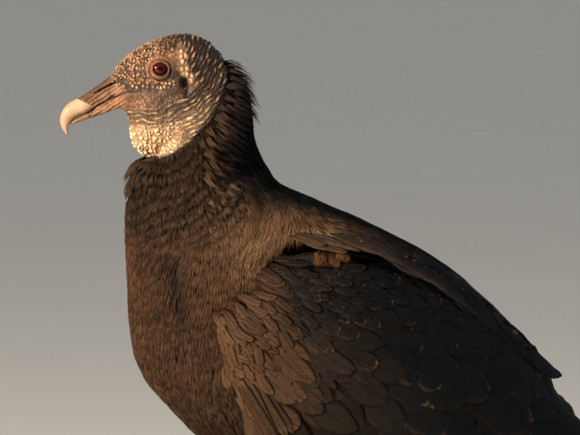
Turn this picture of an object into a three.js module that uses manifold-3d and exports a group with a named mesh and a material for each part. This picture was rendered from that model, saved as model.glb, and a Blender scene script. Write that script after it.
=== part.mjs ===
// Black vulture, adult, life size, standing with its wings folded and its neck drawn up.
// Millimetres, +Z up. The bird faces -Y and its left side is +X. The ground is Z = 0.
// The feathered pieces are modelled to the outside of the plumage, the bare ones to the skin.
import * as THREE from "three";
import { mergeVertices } from "three/addons/utils/BufferGeometryUtils.js";
import Module from "manifold-3d";

const wasm = await Module();
wasm.setup();

const GAP = 0.35; // left between touching pieces
const HEAD_TOP = 464; // height of the crown above the ground
const STANCE = { halfWidth: 37, y: -1 }; // where each foot's toes meet
const EYE = { x: 13.4, y: -118.6, z: 440, radius: 7.4 };
const TAIL = { rootY: 112, rootZ: 178, rootHalf: 13, length: 194, drop: 30, feathers: 12, fan: 7 };
const SHANK_TOP = { y: 20, z: 88 };

// ---- curves and solids -------------------------------------------------------------------

const { lerp, degToRad, smoothstep } = THREE.MathUtils;
const vec = (x, y, z) => new THREE.Vector3(x, y, z);

// A smooth function through rows of numbers spread evenly over t = 0 to 1.
function through(rows) {
  const at = rows.map((_, i) => i / (rows.length - 1));
  const curve = new THREE.CubicInterpolant(at, rows.flat(), rows[0].length);
  return (t) => Array.from(curve.evaluate(THREE.MathUtils.clamp(t, 0, 1)));
}

// A smooth function through [position, value] pairs at any spacing.
function graph(pairs) {
  const curve = new THREE.CubicInterpolant(
    pairs.map((p) => p[0]),
    pairs.map((p) => p[1]),
    1,
  );
  const [first, last] = [pairs[0][0], pairs[pairs.length - 1][0]];
  return (x) => curve.evaluate(THREE.MathUtils.clamp(x, first, last))[0];
}

// A closed geometry as a solid facing out, whichever way round its faces were listed.
function solidOf(geometry) {
  geometry.deleteAttribute("normal").deleteAttribute("uv");
  const { attributes, index } = mergeVertices(geometry, 1e-4);
  const [a, b, c] = [vec(), vec(), vec()];
  let volume = 0;
  for (let i = 0; i < index.count; i += 3) {
    a.fromBufferAttribute(attributes.position, index.getX(i));
    b.fromBufferAttribute(attributes.position, index.getX(i + 1));
    c.fromBufferAttribute(attributes.position, index.getX(i + 2));
    volume += a.dot(b.cross(c));
  }
  const triVerts = new Uint32Array(index.array);
  if (volume < 0) triVerts.reverse();
  const mesh = new wasm.Mesh({ numProp: 3, vertProperties: attributes.position.array, triVerts });
  return new wasm.Manifold(mesh);
}

function solidFrom(points, triangles) {
  const flat = points.flatMap((p) => p.toArray());
  const position = new THREE.Float32BufferAttribute(flat, 3);
  return solidOf(new THREE.BufferGeometry().setAttribute("position", position).setIndex(triangles.flat()));
}

// A closed body through rings of points: ringAt(t, angle) gives a point, and a middle closes each end.
// Its left and right halves have mirrored facets, and so do a panel's, so that the bird's sides match.
function loft(ringAt, rings, sides) {
  const points = [];
  const triangles = [];
  for (let i = 0; i < rings; i++)
    for (let j = 0; j < sides; j++) points.push(ringAt(i / (rings - 1), (j / sides) * 2 * Math.PI));
  const middle = (start) => {
    const sum = vec(0, 0, 0);
    for (let j = 0; j < sides; j++) sum.add(points[start + j]);
    return sum.divideScalar(sides);
  };
  const [first, last] = [points.length, points.length + 1];
  points.push(middle(0), middle((rings - 1) * sides));
  for (let j = 0; j < sides; j++) {
    const k = (j + 1) % sides;
    const leftHalf = Math.cos(((j + 0.5) / sides) * 2 * Math.PI) > 0;
    for (let i = 0; i + 1 < rings; i++) {
      const [low, high] = [i * sides, (i + 1) * sides];
      if (leftHalf) triangles.push([low + j, low + k, high + k], [low + j, high + k, high + j]);
      else triangles.push([low + j, low + k, high + j], [low + k, high + k, high + j]);
    }
    triangles.push([first, k, j], [last, (rings - 1) * sides + j, (rings - 1) * sides + k]);
  }
  return solidFrom(points, triangles);
}

// A closed shell: outer(u, v) is its outside, and thickness(u, v) is measured inwards from it.
function panel(outer, thickness, across, down) {
  const step = 1e-3;
  const inner = (u, v) => {
    const along = outer(Math.min(u + step, 1), v).sub(outer(Math.max(u - step, 0), v));
    const side = outer(u, Math.min(v + step, 1)).sub(outer(u, Math.max(v - step, 0)));
    return outer(u, v).addScaledVector(along.cross(side).normalize(), -thickness(u, v));
  };
  const points = [];
  const triangles = [];
  const row = down + 1;
  const layer = (across + 1) * row;
  for (const surface of [outer, inner])
    for (let i = 0; i <= across; i++)
      for (let j = 0; j <= down; j++) points.push(surface(i / across, j / down));
  const quad = (a, b, c, d) => triangles.push([a, b, c], [a, c, d]);
  for (let i = 0; i < across; i++)
    for (let j = 0; j < down; j++) {
      const a = i * row + j;
      const corners = [a, a + row, a + row + 1, a + 1];
      if (j < down / 2) corners.push(corners.shift());
      quad(...corners);
      quad(...corners.map((corner) => corner + layer).reverse());
    }
  const wall = (a, b, turned) =>
    turned ? quad(a + layer, b + layer, b, a) : quad(a, a + layer, b + layer, b);
  for (let i = 0; i < across; i++) {
    wall(i * row, (i + 1) * row, false);
    wall((i + 1) * row + down, i * row + down, true);
  }
  for (let j = 0; j < down; j++) {
    wall(j + 1, j, j < down / 2);
    wall(across * row + j, across * row + j + 1, j < down / 2);
  }
  return solidFrom(points, triangles);
}

// A body's triangles as an indexed geometry of shared points.
function geometryOf(body) {
  const mesh = body.getMesh();
  const flat = new Float32Array(mesh.numVert * 3);
  for (let i = 0; i < mesh.numVert; i++)
    flat.set(mesh.vertProperties.subarray(i * mesh.numProp, i * mesh.numProp + 3), i * 3);
  const geometry = new THREE.BufferGeometry()
    .setAttribute("position", new THREE.BufferAttribute(flat, 3))
    .setIndex(Array.from(mesh.triVerts));
  geometry.computeVertexNormals();
  return geometry;
}

// The same body, larger by the gap all over: each point moves to where all its faces have moved out
// by the gap. The best fit to those planes is the inverse of the sum of n nT, times the sum of n.
function grown(body) {
  const geometry = geometryOf(body);
  const { position, normal } = geometry.attributes;
  const index = geometry.index.array;
  const sums = Array.from({ length: position.count }, (_, i) => {
    const n = vec().fromBufferAttribute(normal, i).multiplyScalar(0.02);
    return { planes: [0.02, 0, 0, 0, 0.02, 0, 0, 0, 0.02], pull: n };
  });
  const face = new THREE.Triangle();
  for (let i = 0; i < index.length; i += 3) {
    face.setFromAttributeAndIndices(position, index[i], index[i + 1], index[i + 2]);
    const weight = Math.min(face.getArea(), 1); // a sliver's direction counts for little
    const n = face.getNormal(vec()).toArray();
    for (let k = 0; k < 3; k++) {
      const sum = sums[index[i + k]];
      sum.planes.forEach((_, m) => (sum.planes[m] += weight * n[Math.floor(m / 3)] * n[m % 3]));
      sum.pull.addScaledVector(vec(...n), weight);
    }
  }
  const moved = new Float32Array(position.array);
  sums.forEach(({ planes, pull }, i) => {
    const shift = pull.applyMatrix3(new THREE.Matrix3().fromArray(planes).invert()).multiplyScalar(GAP);
    shift.clampLength(0, 3 * GAP).add(vec().fromBufferAttribute(position, i)).toArray(moved, 3 * i);
  });
  const triVerts = new Uint32Array(index);
  return new wasm.Manifold(new wasm.Mesh({ numProp: 3, vertProperties: moved, triVerts }));
}

const less = (body, ...others) => others.flat().reduce((left, other) => left.subtract(grown(other)), body);
const joined = (bodies) => bodies.reduce((sum, body) => sum.add(body));
const mirrored = (body) => body.mirror([1, 0, 0]);

// A cut can leave chips: the largest body is the piece.
const largest = (body) => body.decompose().reduce((best, b) => (b.volume() > best.volume() ? b : best));

// The half of space that lies ahead of a point in the given direction, as a large block.
function halfSpace(point, direction) {
  const size = 900;
  const block = new THREE.BoxGeometry(size, size, size).translate(0, 0, size / 2);
  const turn = new THREE.Quaternion().setFromUnitVectors(vec(0, 0, 1), direction.clone().normalize());
  block.applyQuaternion(turn);
  return solidOf(block.translate(...point.toArray()));
}

// The two sides of a flat cut, with the gap between them: first what the direction points at.
function parted(body, { point, direction }) {
  const ahead = direction.clone().normalize();
  const behind = point.clone().addScaledVector(ahead, -GAP);
  return [
    body.intersect(halfSpace(point, ahead)),
    body.intersect(halfSpace(behind, ahead.clone().negate())),
  ].map(largest);
}

// A ball or egg with its poles to the left and right.
function ball(centre, radii, sides) {
  const round = new THREE.SphereGeometry(1, sides, Math.round(sides * 0.6)).rotateZ(Math.PI / 2);
  return solidOf(round.scale(...radii.toArray()).translate(...centre.toArray()));
}

// ---- sections of the body ----------------------------------------------------------------
// Each row is one section of the bird across its own length: the front or lower end (y, z),
// the back or upper end (y, z), the half width, how far up the widest place is, and how square it is.

function sectioned(rows, rings, sides, relief = () => 0) {
  const rowAt = through(rows);
  return loft(
    (t, angle) => {
      const [frontY, frontZ, backY, backZ, half, widest, square] = rowAt(t);
      const [c, s] = [Math.cos(angle), Math.sin(angle)];
      const rise = s > 0 ? 1 - widest : widest;
      const power = 2 / square;
      const across = Math.sign(c) * Math.abs(c) ** power * half;
      const up = widest + Math.sign(s) * Math.abs(s) ** power * rise;
      const point = vec(across, lerp(frontY, backY, up), lerp(frontZ, backZ, up));
      point.x += Math.sign(across) * relief(point);
      return point;
    },
    rings,
    sides,
  );
}

const BODY = [
  [-123.5, 374.5, -68, 446.5, 27.5, 0.5, 2.1], // collar, where the bare head ends
  [-138.5, 366, -54, 415, 34, 0.5, 2.1],
  [-143, 346, -47.5, 385, 38.5, 0.5, 2.1],
  [-142.5, 317, -39, 363, 46, 0.5, 2.1], // foot of the neck
  [-141.5, 283, -25, 348, 57, 0.52, 2.15],
  [-140, 252, -9, 338, 64, 0.54, 2.2], // breast
  [-131, 227, 3, 332, 68, 0.56, 2.25],
  [-112, 203.5, 20, 325, 70, 0.57, 2.3],
  [-75, 170, 56, 306, 71, 0.58, 2.3],
  [-25, 147, 93, 279, 67, 0.58, 2.25],
  [28, 136, 122, 249, 56, 0.57, 2.2], // belly
  [72, 139, 142, 219, 42, 0.55, 2.1],
  [105, 146, 154, 195, 28, 0.52, 2],
  [127, 155, 162, 182, 17, 0.5, 2], // under the root of the tail
];
const COLLAR = { point: vec(0, -121.8, 378), direction: vec(0, 66, -49) };
const NECK_FOOT = { point: vec(0, -120, 296), direction: vec(0, 62, -150) };

const bodyLoft = sectioned(BODY, 18, 20);

// ---- head --------------------------------------------------------------------------------

const HEAD = [
  [-147, 412.5, -150, 437.2, 9.6, 0.45, 2.2], // root of the bill
  [-143.5, 411.5, -145, 443, 12.4, 0.5, 2.2],
  [-140, 408.5, -137, 450.5, 15.6, 0.55, 2.2],
  [-138, 400, -126, 457, 18.6, 0.6, 2.15],
  [-137.3, 391, -113, 462.3, 21.4, 0.6, 2.1],
  [-134.5, 384, -100, HEAD_TOP, 22.8, 0.58, 2.1],
  [-128.5, 379.8, -88, 461.5, 23.8, 0.55, 2.1], // back of the skull, over the throat
  [-121, 378.3, -78.5, 453.8, 24.8, 0.52, 2.1],
  [-108, 377, -66, 437, 25.5, 0.5, 2.1],
];
// Low swellings and hollows of the face: y, z, reach and height.
const FACE = [
  [-121, 448.5, 6, 1.7], // brow
  [-128, 441, 6, -1.4], // hollow before the eye
  [-112, 427, 9, 1], // cheek
  [-104, 443, 7, 1.1], // fold over the ear
  [-130, 416, 8, -1.2], // behind the gape
  [-126, 392, 12, 1.6], // throat pouch
];
const faceRelief = (p) =>
  FACE.reduce((sum, [y, z, reach, height]) => {
    const distance = (p.y - y) ** 2 + (p.z - z) ** 2;
    return sum + height * Math.exp(-distance / reach ** 2) * smoothstep(Math.abs(p.x), 4, 14);
  }, 0);

const UPPER_BILL = [
  [-146, 421.5, -147, 438, 9.4, 0.4, 2.2],
  [-152, 418.9, -156, 431.3, 7.9, 0.4, 2.2],
  [-161, 414.2, -166, 424.3, 6.6, 0.4, 2.2],
  [-168.5, 409.4, -174.4, 419, 5.7, 0.42, 2.1],
  [-173.9, 407.6, -180.4, 416, 5.1, 0.45, 2.1],
  [-177.4, 404.9, -184.6, 410.6, 4.1, 0.5, 2],
  [-179.6, 401.6, -186.3, 404.4, 3, 0.5, 2],
  [-180.6, 398.4, -184.7, 399, 1.9, 0.5, 2],
  [-180.8, 394.9, -181.6, 394.6, 0.4, 0.5, 2], // tip of the hook
];
const LOWER_BILL = [
  [-145, 412.8, -145, 420.9, 8.6, 0.5, 2.2],
  [-152, 410.2, -152, 417.9, 7.3, 0.5, 2.2],
  [-160, 407.4, -160, 413.7, 5.9, 0.5, 2.2],
  [-168, 404.8, -168, 409, 4.6, 0.5, 2.1],
  [-174, 402.8, -174, 406.6, 3.5, 0.5, 2],
  [-178, 401.4, -177.6, 404.1, 2, 0.5, 2],
  [-179.2, 401.6, -179, 402.6, 0.7, 0.5, 2],
];
// Where the bare horn starts, at the front of the cere and of the chin.
const UPPER_HORN = { point: vec(0, -168.4, 416.6), direction: vec(0, -5.5, -13) };
const LOWER_HORN = { point: vec(0, -166, 406), direction: vec(0, -1, -0.2) };

const headLoft = sectioned(HEAD, 12, 18, faceRelief);
const upperBill = sectioned(UPPER_BILL, 14, 12);
const lowerBill = sectioned(LOWER_BILL, 8, 10);

// A lens-shaped slot right through the bill, along its slope: the open nostrils.
function nostrils() {
  const [length, height, depth, slope] = [12.5, 1.9, 30, degToRad(-33)];
  const lens = new THREE.Shape().moveTo(-length / 2, 0);
  lens.quadraticCurveTo(0, height, length / 2, 0);
  lens.quadraticCurveTo(0, -height, -length / 2, 0);
  const slot = new THREE.ExtrudeGeometry(lens, { depth, bevelEnabled: false, curveSegments: 3 });
  slot.translate(0, 0, -depth / 2).rotateZ(slope).rotateX(Math.PI / 2).rotateZ(Math.PI / 2);
  return solidOf(slot.translate(0, -154.2, 426.4));
}

const eyes = [1, -1].map((side) =>
  ball(vec(side * EYE.x, EYE.y, EYE.z), vec(EYE.radius, EYE.radius, EYE.radius), 12),
);
const earPits = [1, -1].map((side) => ball(vec(side * 22.6, -103, 430), vec(3.4, 2.4, 3.6), 8));

// ---- wings -------------------------------------------------------------------------------
// The folded wing's outline in its side view, as [y, z], and how far out its outside stands.

const wingTop = graph([
  [-86, 283],
  [-62, 305],
  [-45, 316],
  [-20, 322],
  [14, 321],
  [48, 309],
  [83, 288],
  [117, 260],
  [145, 231],
  [164, 209],
  [200, 174],
  [240, 146],
  [272, 130],
]);
const wingLow = graph([
  [-86, 262],
  [-80, 242],
  [-70, 226],
  [-57, 203],
  [-45.5, 186],
  [-12, 154],
  [40, 126],
  [105, 104],
  [175, 93],
  [272, 92],
]);
const wingReach = graph([
  [-86, 68],
  [-78, 77],
  [-62, 84],
  [-45, 88],
  [-10, 91],
  [30, 89],
  [70, 81],
  [110, 69],
  [150, 58],
  [190, 52],
  [230, 45],
  [272, 37],
]);
function wingOut(y, z) {
  const [top, low] = [wingTop(y), wingLow(y)];
  const up = THREE.MathUtils.clamp((z - (top + low) / 2) / ((top - low) / 2), -1.1, 1.1);
  const over = lerp(0.36, 0.62, smoothstep(y, 95, 165)); // the tertials lean in over the rump
  const under = lerp(0.08, 0.28, smoothstep(y, -70, 30)) - 0.24 * smoothstep(y, 120, 220);
  const tuck = up > 0 ? over * up ** 2.4 : under * up ** 2;
  return wingReach(y) * (1 - tuck);
}

// How far back (y) the coverts reach, from the wing's lower edge (0) to its top (1).
const coverEdge = graph([
  [0, -14],
  [0.25, 46],
  [0.5, 86],
  [0.75, 112],
  [1, 118],
]);

const wingShell = panel(
  (u, v) => {
    const y = lerp(-86, coverEdge(v), u ** 0.85);
    const z = lerp(wingLow(y), wingTop(y), v);
    return vec(wingOut(y, z), y, z);
  },
  (u, v) => lerp(lerp(9, 22, smoothstep(u, 0, 0.3)), 7, smoothstep(u, 0.3, 1)) * lerp(0.5, 1, v ** 0.5),
  10,
  7,
);

// Across a fan of feathers: 0 between two of them, 1 along the middle of each.
const rib = (u, count) => 0.5 - 0.5 * Math.cos(2 * Math.PI * u * count);

// Overlapping feathers of the folded wing, laid on its outside as one ribbed fan. Each runs in an arc
// from the roots' line to the tips' line, and both lines go from the upper feather to the lower one.
function wingFan({ count, roots, tips, sag, lift, notch }) {
  const [rootAt, tipAt] = [through(roots), through(tips)];
  const outer = (u, v) => {
    const middle = rib(u, count);
    const [rootY, rootZ] = rootAt(u);
    const [tipY, tipZ] = tipAt(u);
    const along = v * (1 - notch * (1 - middle));
    const bow = 4 * along * (1 - along) * lerp(sag[0], sag[1], u);
    const [y, z] = [lerp(rootY, tipY, along), lerp(rootZ, tipZ, along) - bow];
    return vec(wingOut(y, z) + lift - 0.8 * middle * smoothstep(v, 0, 0.4), y, z);
  };
  return panel(outer, (u, v) => lerp(2.4, 1.6, v), count * 2, 4);
}

const tertials = wingFan({
  count: 3,
  roots: [[50, 292], [38, 276], [30, 258]],
  tips: [[160, 214], [166, 199], [166, 183]],
  sag: [-9, -3],
  lift: -1.5,
  notch: 0.05,
});
const secondaries = wingFan({
  count: 7,
  roots: [[34, 262], [0, 226], [-30, 196]],
  tips: [[170, 186], [168, 160], [136, 122]],
  sag: [0, 7],
  lift: -6,
  notch: 0.05,
});
const primaries = wingFan({
  count: 7,
  roots: [[40, 200], [10, 178], [-22, 164]],
  tips: [[205, 138], [262, 108], [270, 94]],
  sag: [6, 24],
  lift: -10.5,
  notch: 0.03,
});

// ---- back and tail -----------------------------------------------------------------------
// The mantle lies over the back, and its two lips overhang the tops of the wings.

// Each row: the middle of the back (y, z) and the lip beside it (x, y, z).
const MANTLE = [
  [-43, 363.5, 58, -66, 304],
  [-21, 353.5, 65, -46, 317.5],
  [13.8, 338.1, 70, -18, 323],
  [48.3, 322.2, 71, 16, 321],
  [82.8, 301.5, 66, 52, 306],
  [112, 276, 58, 86, 283],
  [145, 241, 43, 126, 248],
];
const mantleRow = through(MANTLE);
const mantleShell = panel(
  (u, v) => {
    const [y, z, lipX, lipY, lipZ] = mantleRow(u);
    const around = (2 * v - 1) * (Math.PI / 2);
    const fall = 1 - Math.cos(around);
    return vec(-lipX * Math.sin(around), lerp(y, lipY, fall), lerp(z, lipZ, fall));
  },
  (u, v) => lerp(10, 2.6, Math.abs(2 * v - 1) ** 3) * lerp(1, 0.5, u),
  7,
  10,
);

// The tail is one fan of overlapping feathers: each lies a step under the next one nearer the middle.
function tailFan() {
  const drop = degToRad(TAIL.drop);
  const outer = (u, v) => {
    const spread = 2 * u - 1;
    const middle = rib(u, TAIL.feathers);
    const turn = degToRad(TAIL.fan) * spread;
    const rounded = 7 * (1 - middle) ** 2 + 6 * spread ** 2;
    const along = (TAIL.length - rounded) * v;
    const raised = 0.8 * middle * smoothstep(v, 0, 0.3);
    const sag = 5 * Math.sin(Math.PI * v) + 7 * spread ** 2 * v;
    return vec(
      TAIL.rootHalf * spread + Math.sin(turn) * along,
      TAIL.rootY + Math.cos(turn) * Math.cos(drop) * along,
      TAIL.rootZ - Math.sin(drop) * along - sag + raised,
    );
  };
  return panel(outer, (u, v) => lerp(5, 1.5, smoothstep(v, 0, 0.6)), TAIL.feathers * 2, 3);
}

// ---- legs and feet -----------------------------------------------------------------------

// A limb through rows of x, y, z, radius to the side and radius to the front.
function limb(rows, rings, sides) {
  const rowAt = through(rows);
  return loft(
    (t, angle) => {
      const [x, y, z, side, front] = rowAt(t);
      return vec(x + side * Math.cos(angle), y + front * Math.sin(angle), z);
    },
    rings,
    sides,
  );
}

const thighFull = limb(
  [
    [35, -6, 196, 17, 30],
    [36, -4, 166, 17, 29],
    [37.5, 3, 140, 16, 24],
    [38.5, 11, 116, 12.5, 16.5],
    [39, 17, 98, 8.6, 10.5],
    [39, SHANK_TOP.y, SHANK_TOP.z, 6.8, 7.6],
  ],
  7,
  12,
);
const shankFull = limb(
  [
    [39, SHANK_TOP.y, SHANK_TOP.z + 4, 6, 6.6],
    [39, SHANK_TOP.y - 0.5, SHANK_TOP.z - 7, 6.6, 7.6],
    [38.7, SHANK_TOP.y - 4, 68, 4.7, 5.4],
    [38.2, 10, 45, 4.4, 5.1],
    [37.6, 4, 24, 4.9, 5.5],
    [STANCE.halfWidth, STANCE.y, 9.5, 7, 7],
  ],
  8,
  8,
);

// Toes: bearing out from straight ahead in degrees, length, radius at the root, and the claw's length.
const TOES = {
  middle: { bearing: 2, length: 66, radius: 5.6, claw: 15 },
  inner: { bearing: -30, length: 43, radius: 4.9, claw: 12.5 },
  outer: { bearing: 36, length: 46, radius: 4.8, claw: 12 },
  hind: { bearing: 168, length: 19, radius: 4.4, claw: 9.5 },
};
const SOLE = 0.6; // how deep the flats on the toes' pads are cut

function alongToe(toe, distance, height) {
  const turn = degToRad(toe.bearing);
  return vec(
    STANCE.halfWidth + Math.sin(turn) * distance,
    STANCE.y - Math.cos(turn) * distance,
    height,
  );
}

// A toe's pads swell between its joints, and their undersides are cut flat where they press the ground.
function toeBody(toe) {
  const turn = degToRad(toe.bearing);
  const side = vec(Math.cos(turn), Math.sin(turn), 0);
  return loft(
    (t, angle) => {
      const swell = 1 + 0.07 * Math.cos(6 * Math.PI * t);
      const radius = toe.radius * lerp(1.1, 0.75, t) * swell;
      const centre = alongToe(toe, toe.length * t, radius - SOLE);
      return centre
        .addScaledVector(side, radius * Math.sin(angle))
        .add(vec(0, 0, radius * Math.cos(angle)));
    },
    6,
    6,
  );
}

function claw(toe) {
  const turn = degToRad(toe.bearing);
  const side = vec(Math.cos(turn), Math.sin(turn), 0);
  const start = toe.radius * 0.72;
  return loft(
    (t, angle) => {
      const radius = lerp(start * 0.72, 0.45, t ** 0.8);
      const height = lerp(start * 1.05, 0.75, t ** 1.7) + start * 0.5 * Math.sin(Math.PI * t);
      const centre = alongToe(toe, toe.length + GAP + toe.claw * t, height);
      return centre
        .addScaledVector(side, 0.8 * radius * Math.cos(angle))
        .add(vec(0, 0, radius * Math.sin(angle)));
    },
    5,
    6,
  );
}

const belowGround = halfSpace(vec(0, 0, 0), vec(0, 0, -1));
const toes = Object.values(TOES).map(toeBody);
const footPad = ball(vec(STANCE.halfWidth, STANCE.y, 6.2), vec(8.6, 8.8, 6.9), 8);
const footFull = joined([footPad, ...toes]).subtract(belowGround);

// ---- parting the bird --------------------------------------------------------------------

const [billUpper, cere] = parted(upperBill, UPPER_HORN);
const [billLower, chin] = parted(largest(less(lowerBill, upperBill)), LOWER_HORN);
const face = parted(joined([headLoft, cere, chin]), COLLAR)[1];
const head = largest(less(face.subtract(nostrils()), ...eyes, ...earPits));
const [trunk, neck] = parted(parted(bodyLoft, COLLAR)[0], NECK_FOOT);
const mantle = largest(less(mantleShell, bodyLoft));

const wing = {
  wing_arm: largest(less(wingShell, mantleShell, bodyLoft)),
  tertials: largest(less(tertials, wingShell, mantleShell, bodyLoft)),
  secondaries: largest(less(secondaries, tertials, wingShell, bodyLoft)),
  primaries: largest(less(primaries, secondaries, tertials, wingShell, bodyLoft)),
};
const wingSides = [wingShell, tertials, secondaries, primaries].flatMap((body) => [body, mirrored(body)]);
const tail = largest(less(tailFan(), bodyLoft, wingSides));
const thigh = largest(less(thighFull, bodyLoft, wingShell, secondaries, primaries));
const shank = largest(less(shankFull, thigh));
const foot = largest(less(footFull, shank));

// ---- the model ---------------------------------------------------------------------------

const finish = (color, roughness) => new THREE.MeshStandardMaterial({ color, roughness, metalness: 0 });
const FINISHES = {
  bareSkin: finish(0x6b5a50, 0.75),
  ivoryHorn: finish(0xd9bfa2, 0.45),
  darkHorn: finish(0x4a3a30, 0.5),
  eye: finish(0x2a100c, 0.08),
  softPlumage: finish(0x231b17, 0.85),
  vanes: finish(0x17161a, 0.6),
  scaledLeg: finish(0x8d8a84, 0.7),
  claw: finish(0x2b2724, 0.45),
};

const bird = new THREE.Group();
function add(name, body, material) {
  const mesh = new THREE.Mesh(geometryOf(body), material);
  mesh.name = name;
  bird.add(mesh);
}
function addPair(name, body, material) {
  add(name + "_left", body, material);
  add(name + "_right", mirrored(body), material);
}

add("head", head, FINISHES.bareSkin);
add("bill_upper", billUpper, FINISHES.ivoryHorn);
add("bill_lower", billLower, FINISHES.darkHorn);
addPair("eye", eyes[0], FINISHES.eye);
add("neck", neck, FINISHES.softPlumage);
add("trunk", trunk, FINISHES.softPlumage);
add("mantle", mantle, FINISHES.vanes);
for (const [name, body] of Object.entries(wing)) addPair(name, body, FINISHES.vanes);
add("tail", tail, FINISHES.vanes);
addPair("thigh", thigh, FINISHES.softPlumage);
addPair("shank", shank, FINISHES.scaledLeg);
addPair("foot", foot, FINISHES.scaledLeg);
for (const [name, toe] of Object.entries(TOES))
  addPair("claw_" + name, largest(less(claw(toe), foot)), FINISHES.claw);

// The origin is the middle of the bird's box, on the ground.
const box = new THREE.Box3().setFromObject(bird);
bird.position.set(-(box.min.x + box.max.x) / 2, -(box.min.y + box.max.y) / 2, -box.min.z);

export default bird;
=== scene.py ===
import math
import bpy
import numpy as np
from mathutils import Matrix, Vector
from mathutils.bvhtree import BVHTree


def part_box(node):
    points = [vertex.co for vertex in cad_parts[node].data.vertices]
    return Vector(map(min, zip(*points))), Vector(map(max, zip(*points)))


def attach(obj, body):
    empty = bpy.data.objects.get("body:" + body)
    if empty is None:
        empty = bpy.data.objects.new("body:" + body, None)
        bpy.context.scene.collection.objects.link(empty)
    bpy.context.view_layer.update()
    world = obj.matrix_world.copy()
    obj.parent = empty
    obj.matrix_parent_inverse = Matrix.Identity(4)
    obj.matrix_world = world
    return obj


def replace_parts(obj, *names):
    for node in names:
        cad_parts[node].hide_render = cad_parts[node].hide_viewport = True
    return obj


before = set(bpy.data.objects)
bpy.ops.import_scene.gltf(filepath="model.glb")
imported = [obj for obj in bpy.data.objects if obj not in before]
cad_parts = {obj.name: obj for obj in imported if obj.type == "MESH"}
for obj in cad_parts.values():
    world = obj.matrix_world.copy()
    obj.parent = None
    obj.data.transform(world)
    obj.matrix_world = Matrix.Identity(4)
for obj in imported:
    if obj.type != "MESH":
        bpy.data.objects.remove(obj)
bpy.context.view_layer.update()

dice = np.random.default_rng(11)

# A black vulture, life size. Shapes are worked out in millimetres with the bird facing -Y
# and its midline at x = 0, then moved onto the frame by place().
eyeLow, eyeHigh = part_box("eye_left")
frameShift = 1000 * (eyeLow[1] + eyeHigh[1]) / 2 + 118.6  # the frame's y less the bird's own


def place(points):
    return (np.asarray(points, float) + [0, frameShift, 0]) / 1000


def unplace(points):
    return np.asarray(points, float) * 1000 - [0, frameShift, 0]


# small maths

def mix(a, b, t):
    return a + (b - a) * t


def ramp(value, low, high):  # 0 at low, 1 at high, smooth between
    t = np.clip((value - low) / (high - low), 0, 1)
    return t * t * (3 - 2 * t)


def hump(value, centre, reach):  # 1 at the centre, fading out over the reach
    return np.exp(-(((value - centre) / reach) ** 2))


def graph(pairs):  # a smooth curve through (position, value) pairs, level beyond its ends
    at, val = np.array(list(pairs), float).T
    slope = np.gradient(val, at)

    def curve(x):
        x = np.clip(x, at[0], at[-1])
        i = np.clip(np.searchsorted(at, x, "right") - 1, 0, len(at) - 2)
        h = at[i + 1] - at[i]
        t = (x - at[i]) / h
        return ((1 + 2 * t) * (1 - t) ** 2 * val[i] + t * (1 - t) ** 2 * h * slope[i]
                + t * t * (3 - 2 * t) * val[i + 1] + t * t * (t - 1) * h * slope[i + 1])
    return curve


def unit(v):
    return v / np.maximum(np.linalg.norm(v, axis=-1, keepdims=True), 1e-9)


def hashed(cells, salt):  # a repeatable random number for each whole-number cell
    c = cells.astype(np.int64)
    h = (c[..., 0] * 374761393 + c[..., 1] * 668265263 + c[..., 2] * 2246822519 + salt * 3266489917) & 0xFFFFFFFF
    h = ((h ^ (h >> 13)) * 1274126177) & 0xFFFFFFFF
    h = ((h ^ (h >> 15)) * 2654435761) & 0xFFFFFFFF
    return ((h >> 8) & 0xFFFF) / 65535.0


def noise(p, size, salt=0):  # smooth noise, -1 to 1
    q = np.asarray(p, float) / size
    base = np.floor(q)
    f = q - base
    f = f * f * (3 - 2 * f)
    total = 0
    for corner in np.ndindex(2, 2, 2):
        total = total + np.where(corner, f, 1 - f).prod(-1) * hashed(base + corner, salt)
    return 2 * total - 1


def cells(p, size, salt=0, jitter=0.8):  # distance to the nearest and next scattered point, in cells
    q = np.asarray(p, float) / size
    base = np.floor(q)
    near = np.full(q.shape[:-1], 9.0)
    following = near.copy()
    for step in np.ndindex(3, 3, 3):
        cell = base + step - 1
        seed = np.stack([hashed(cell, salt + k) for k in (1, 2, 3)], -1)
        d = np.linalg.norm(cell + 0.5 + jitter * (seed - 0.5) - q, axis=-1)
        following = np.minimum(following, np.maximum(near, d))
        near = np.minimum(near, d)
    return near, following


def pathDistance(p, path):  # distance in the side view to a line of (y, z) points, and how far along it, 0 to 1
    p2 = np.asarray(p)[..., 1:3]
    path = np.array(path, float)
    best = np.full(p2.shape[:-1], 1e9)
    along = np.zeros(p2.shape[:-1])
    for i in range(len(path) - 1):
        a, d = path[i], path[i + 1] - path[i]
        t = np.clip(((p2 - a) @ d) / (d @ d), 0, 1)
        gap = np.linalg.norm(p2 - a - t[..., None] * d, axis=-1)
        closer = gap < best
        best = np.where(closer, gap, best)
        along = np.where(closer, (i + t) / (len(path) - 1), along)
    return best, along


# meshes in and out

def nodeMesh(names):  # CAD nodes as one set of vertices and triangles, in the bird's millimetres
    points, faces, start = [], [], 0
    for name in names:
        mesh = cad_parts[name].data
        co = np.empty(len(mesh.vertices) * 3)
        mesh.vertices.foreach_get("co", co)
        mesh.calc_loop_triangles()
        tri = np.empty(len(mesh.loop_triangles) * 3, np.int32)
        mesh.loop_triangles.foreach_get("vertices", tri)
        points.append(unplace(co.reshape(-1, 3)))
        faces.append(tri.reshape(-1, 3) + start)
        start += len(mesh.vertices)
    return np.concatenate(points), np.concatenate(faces)


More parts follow.
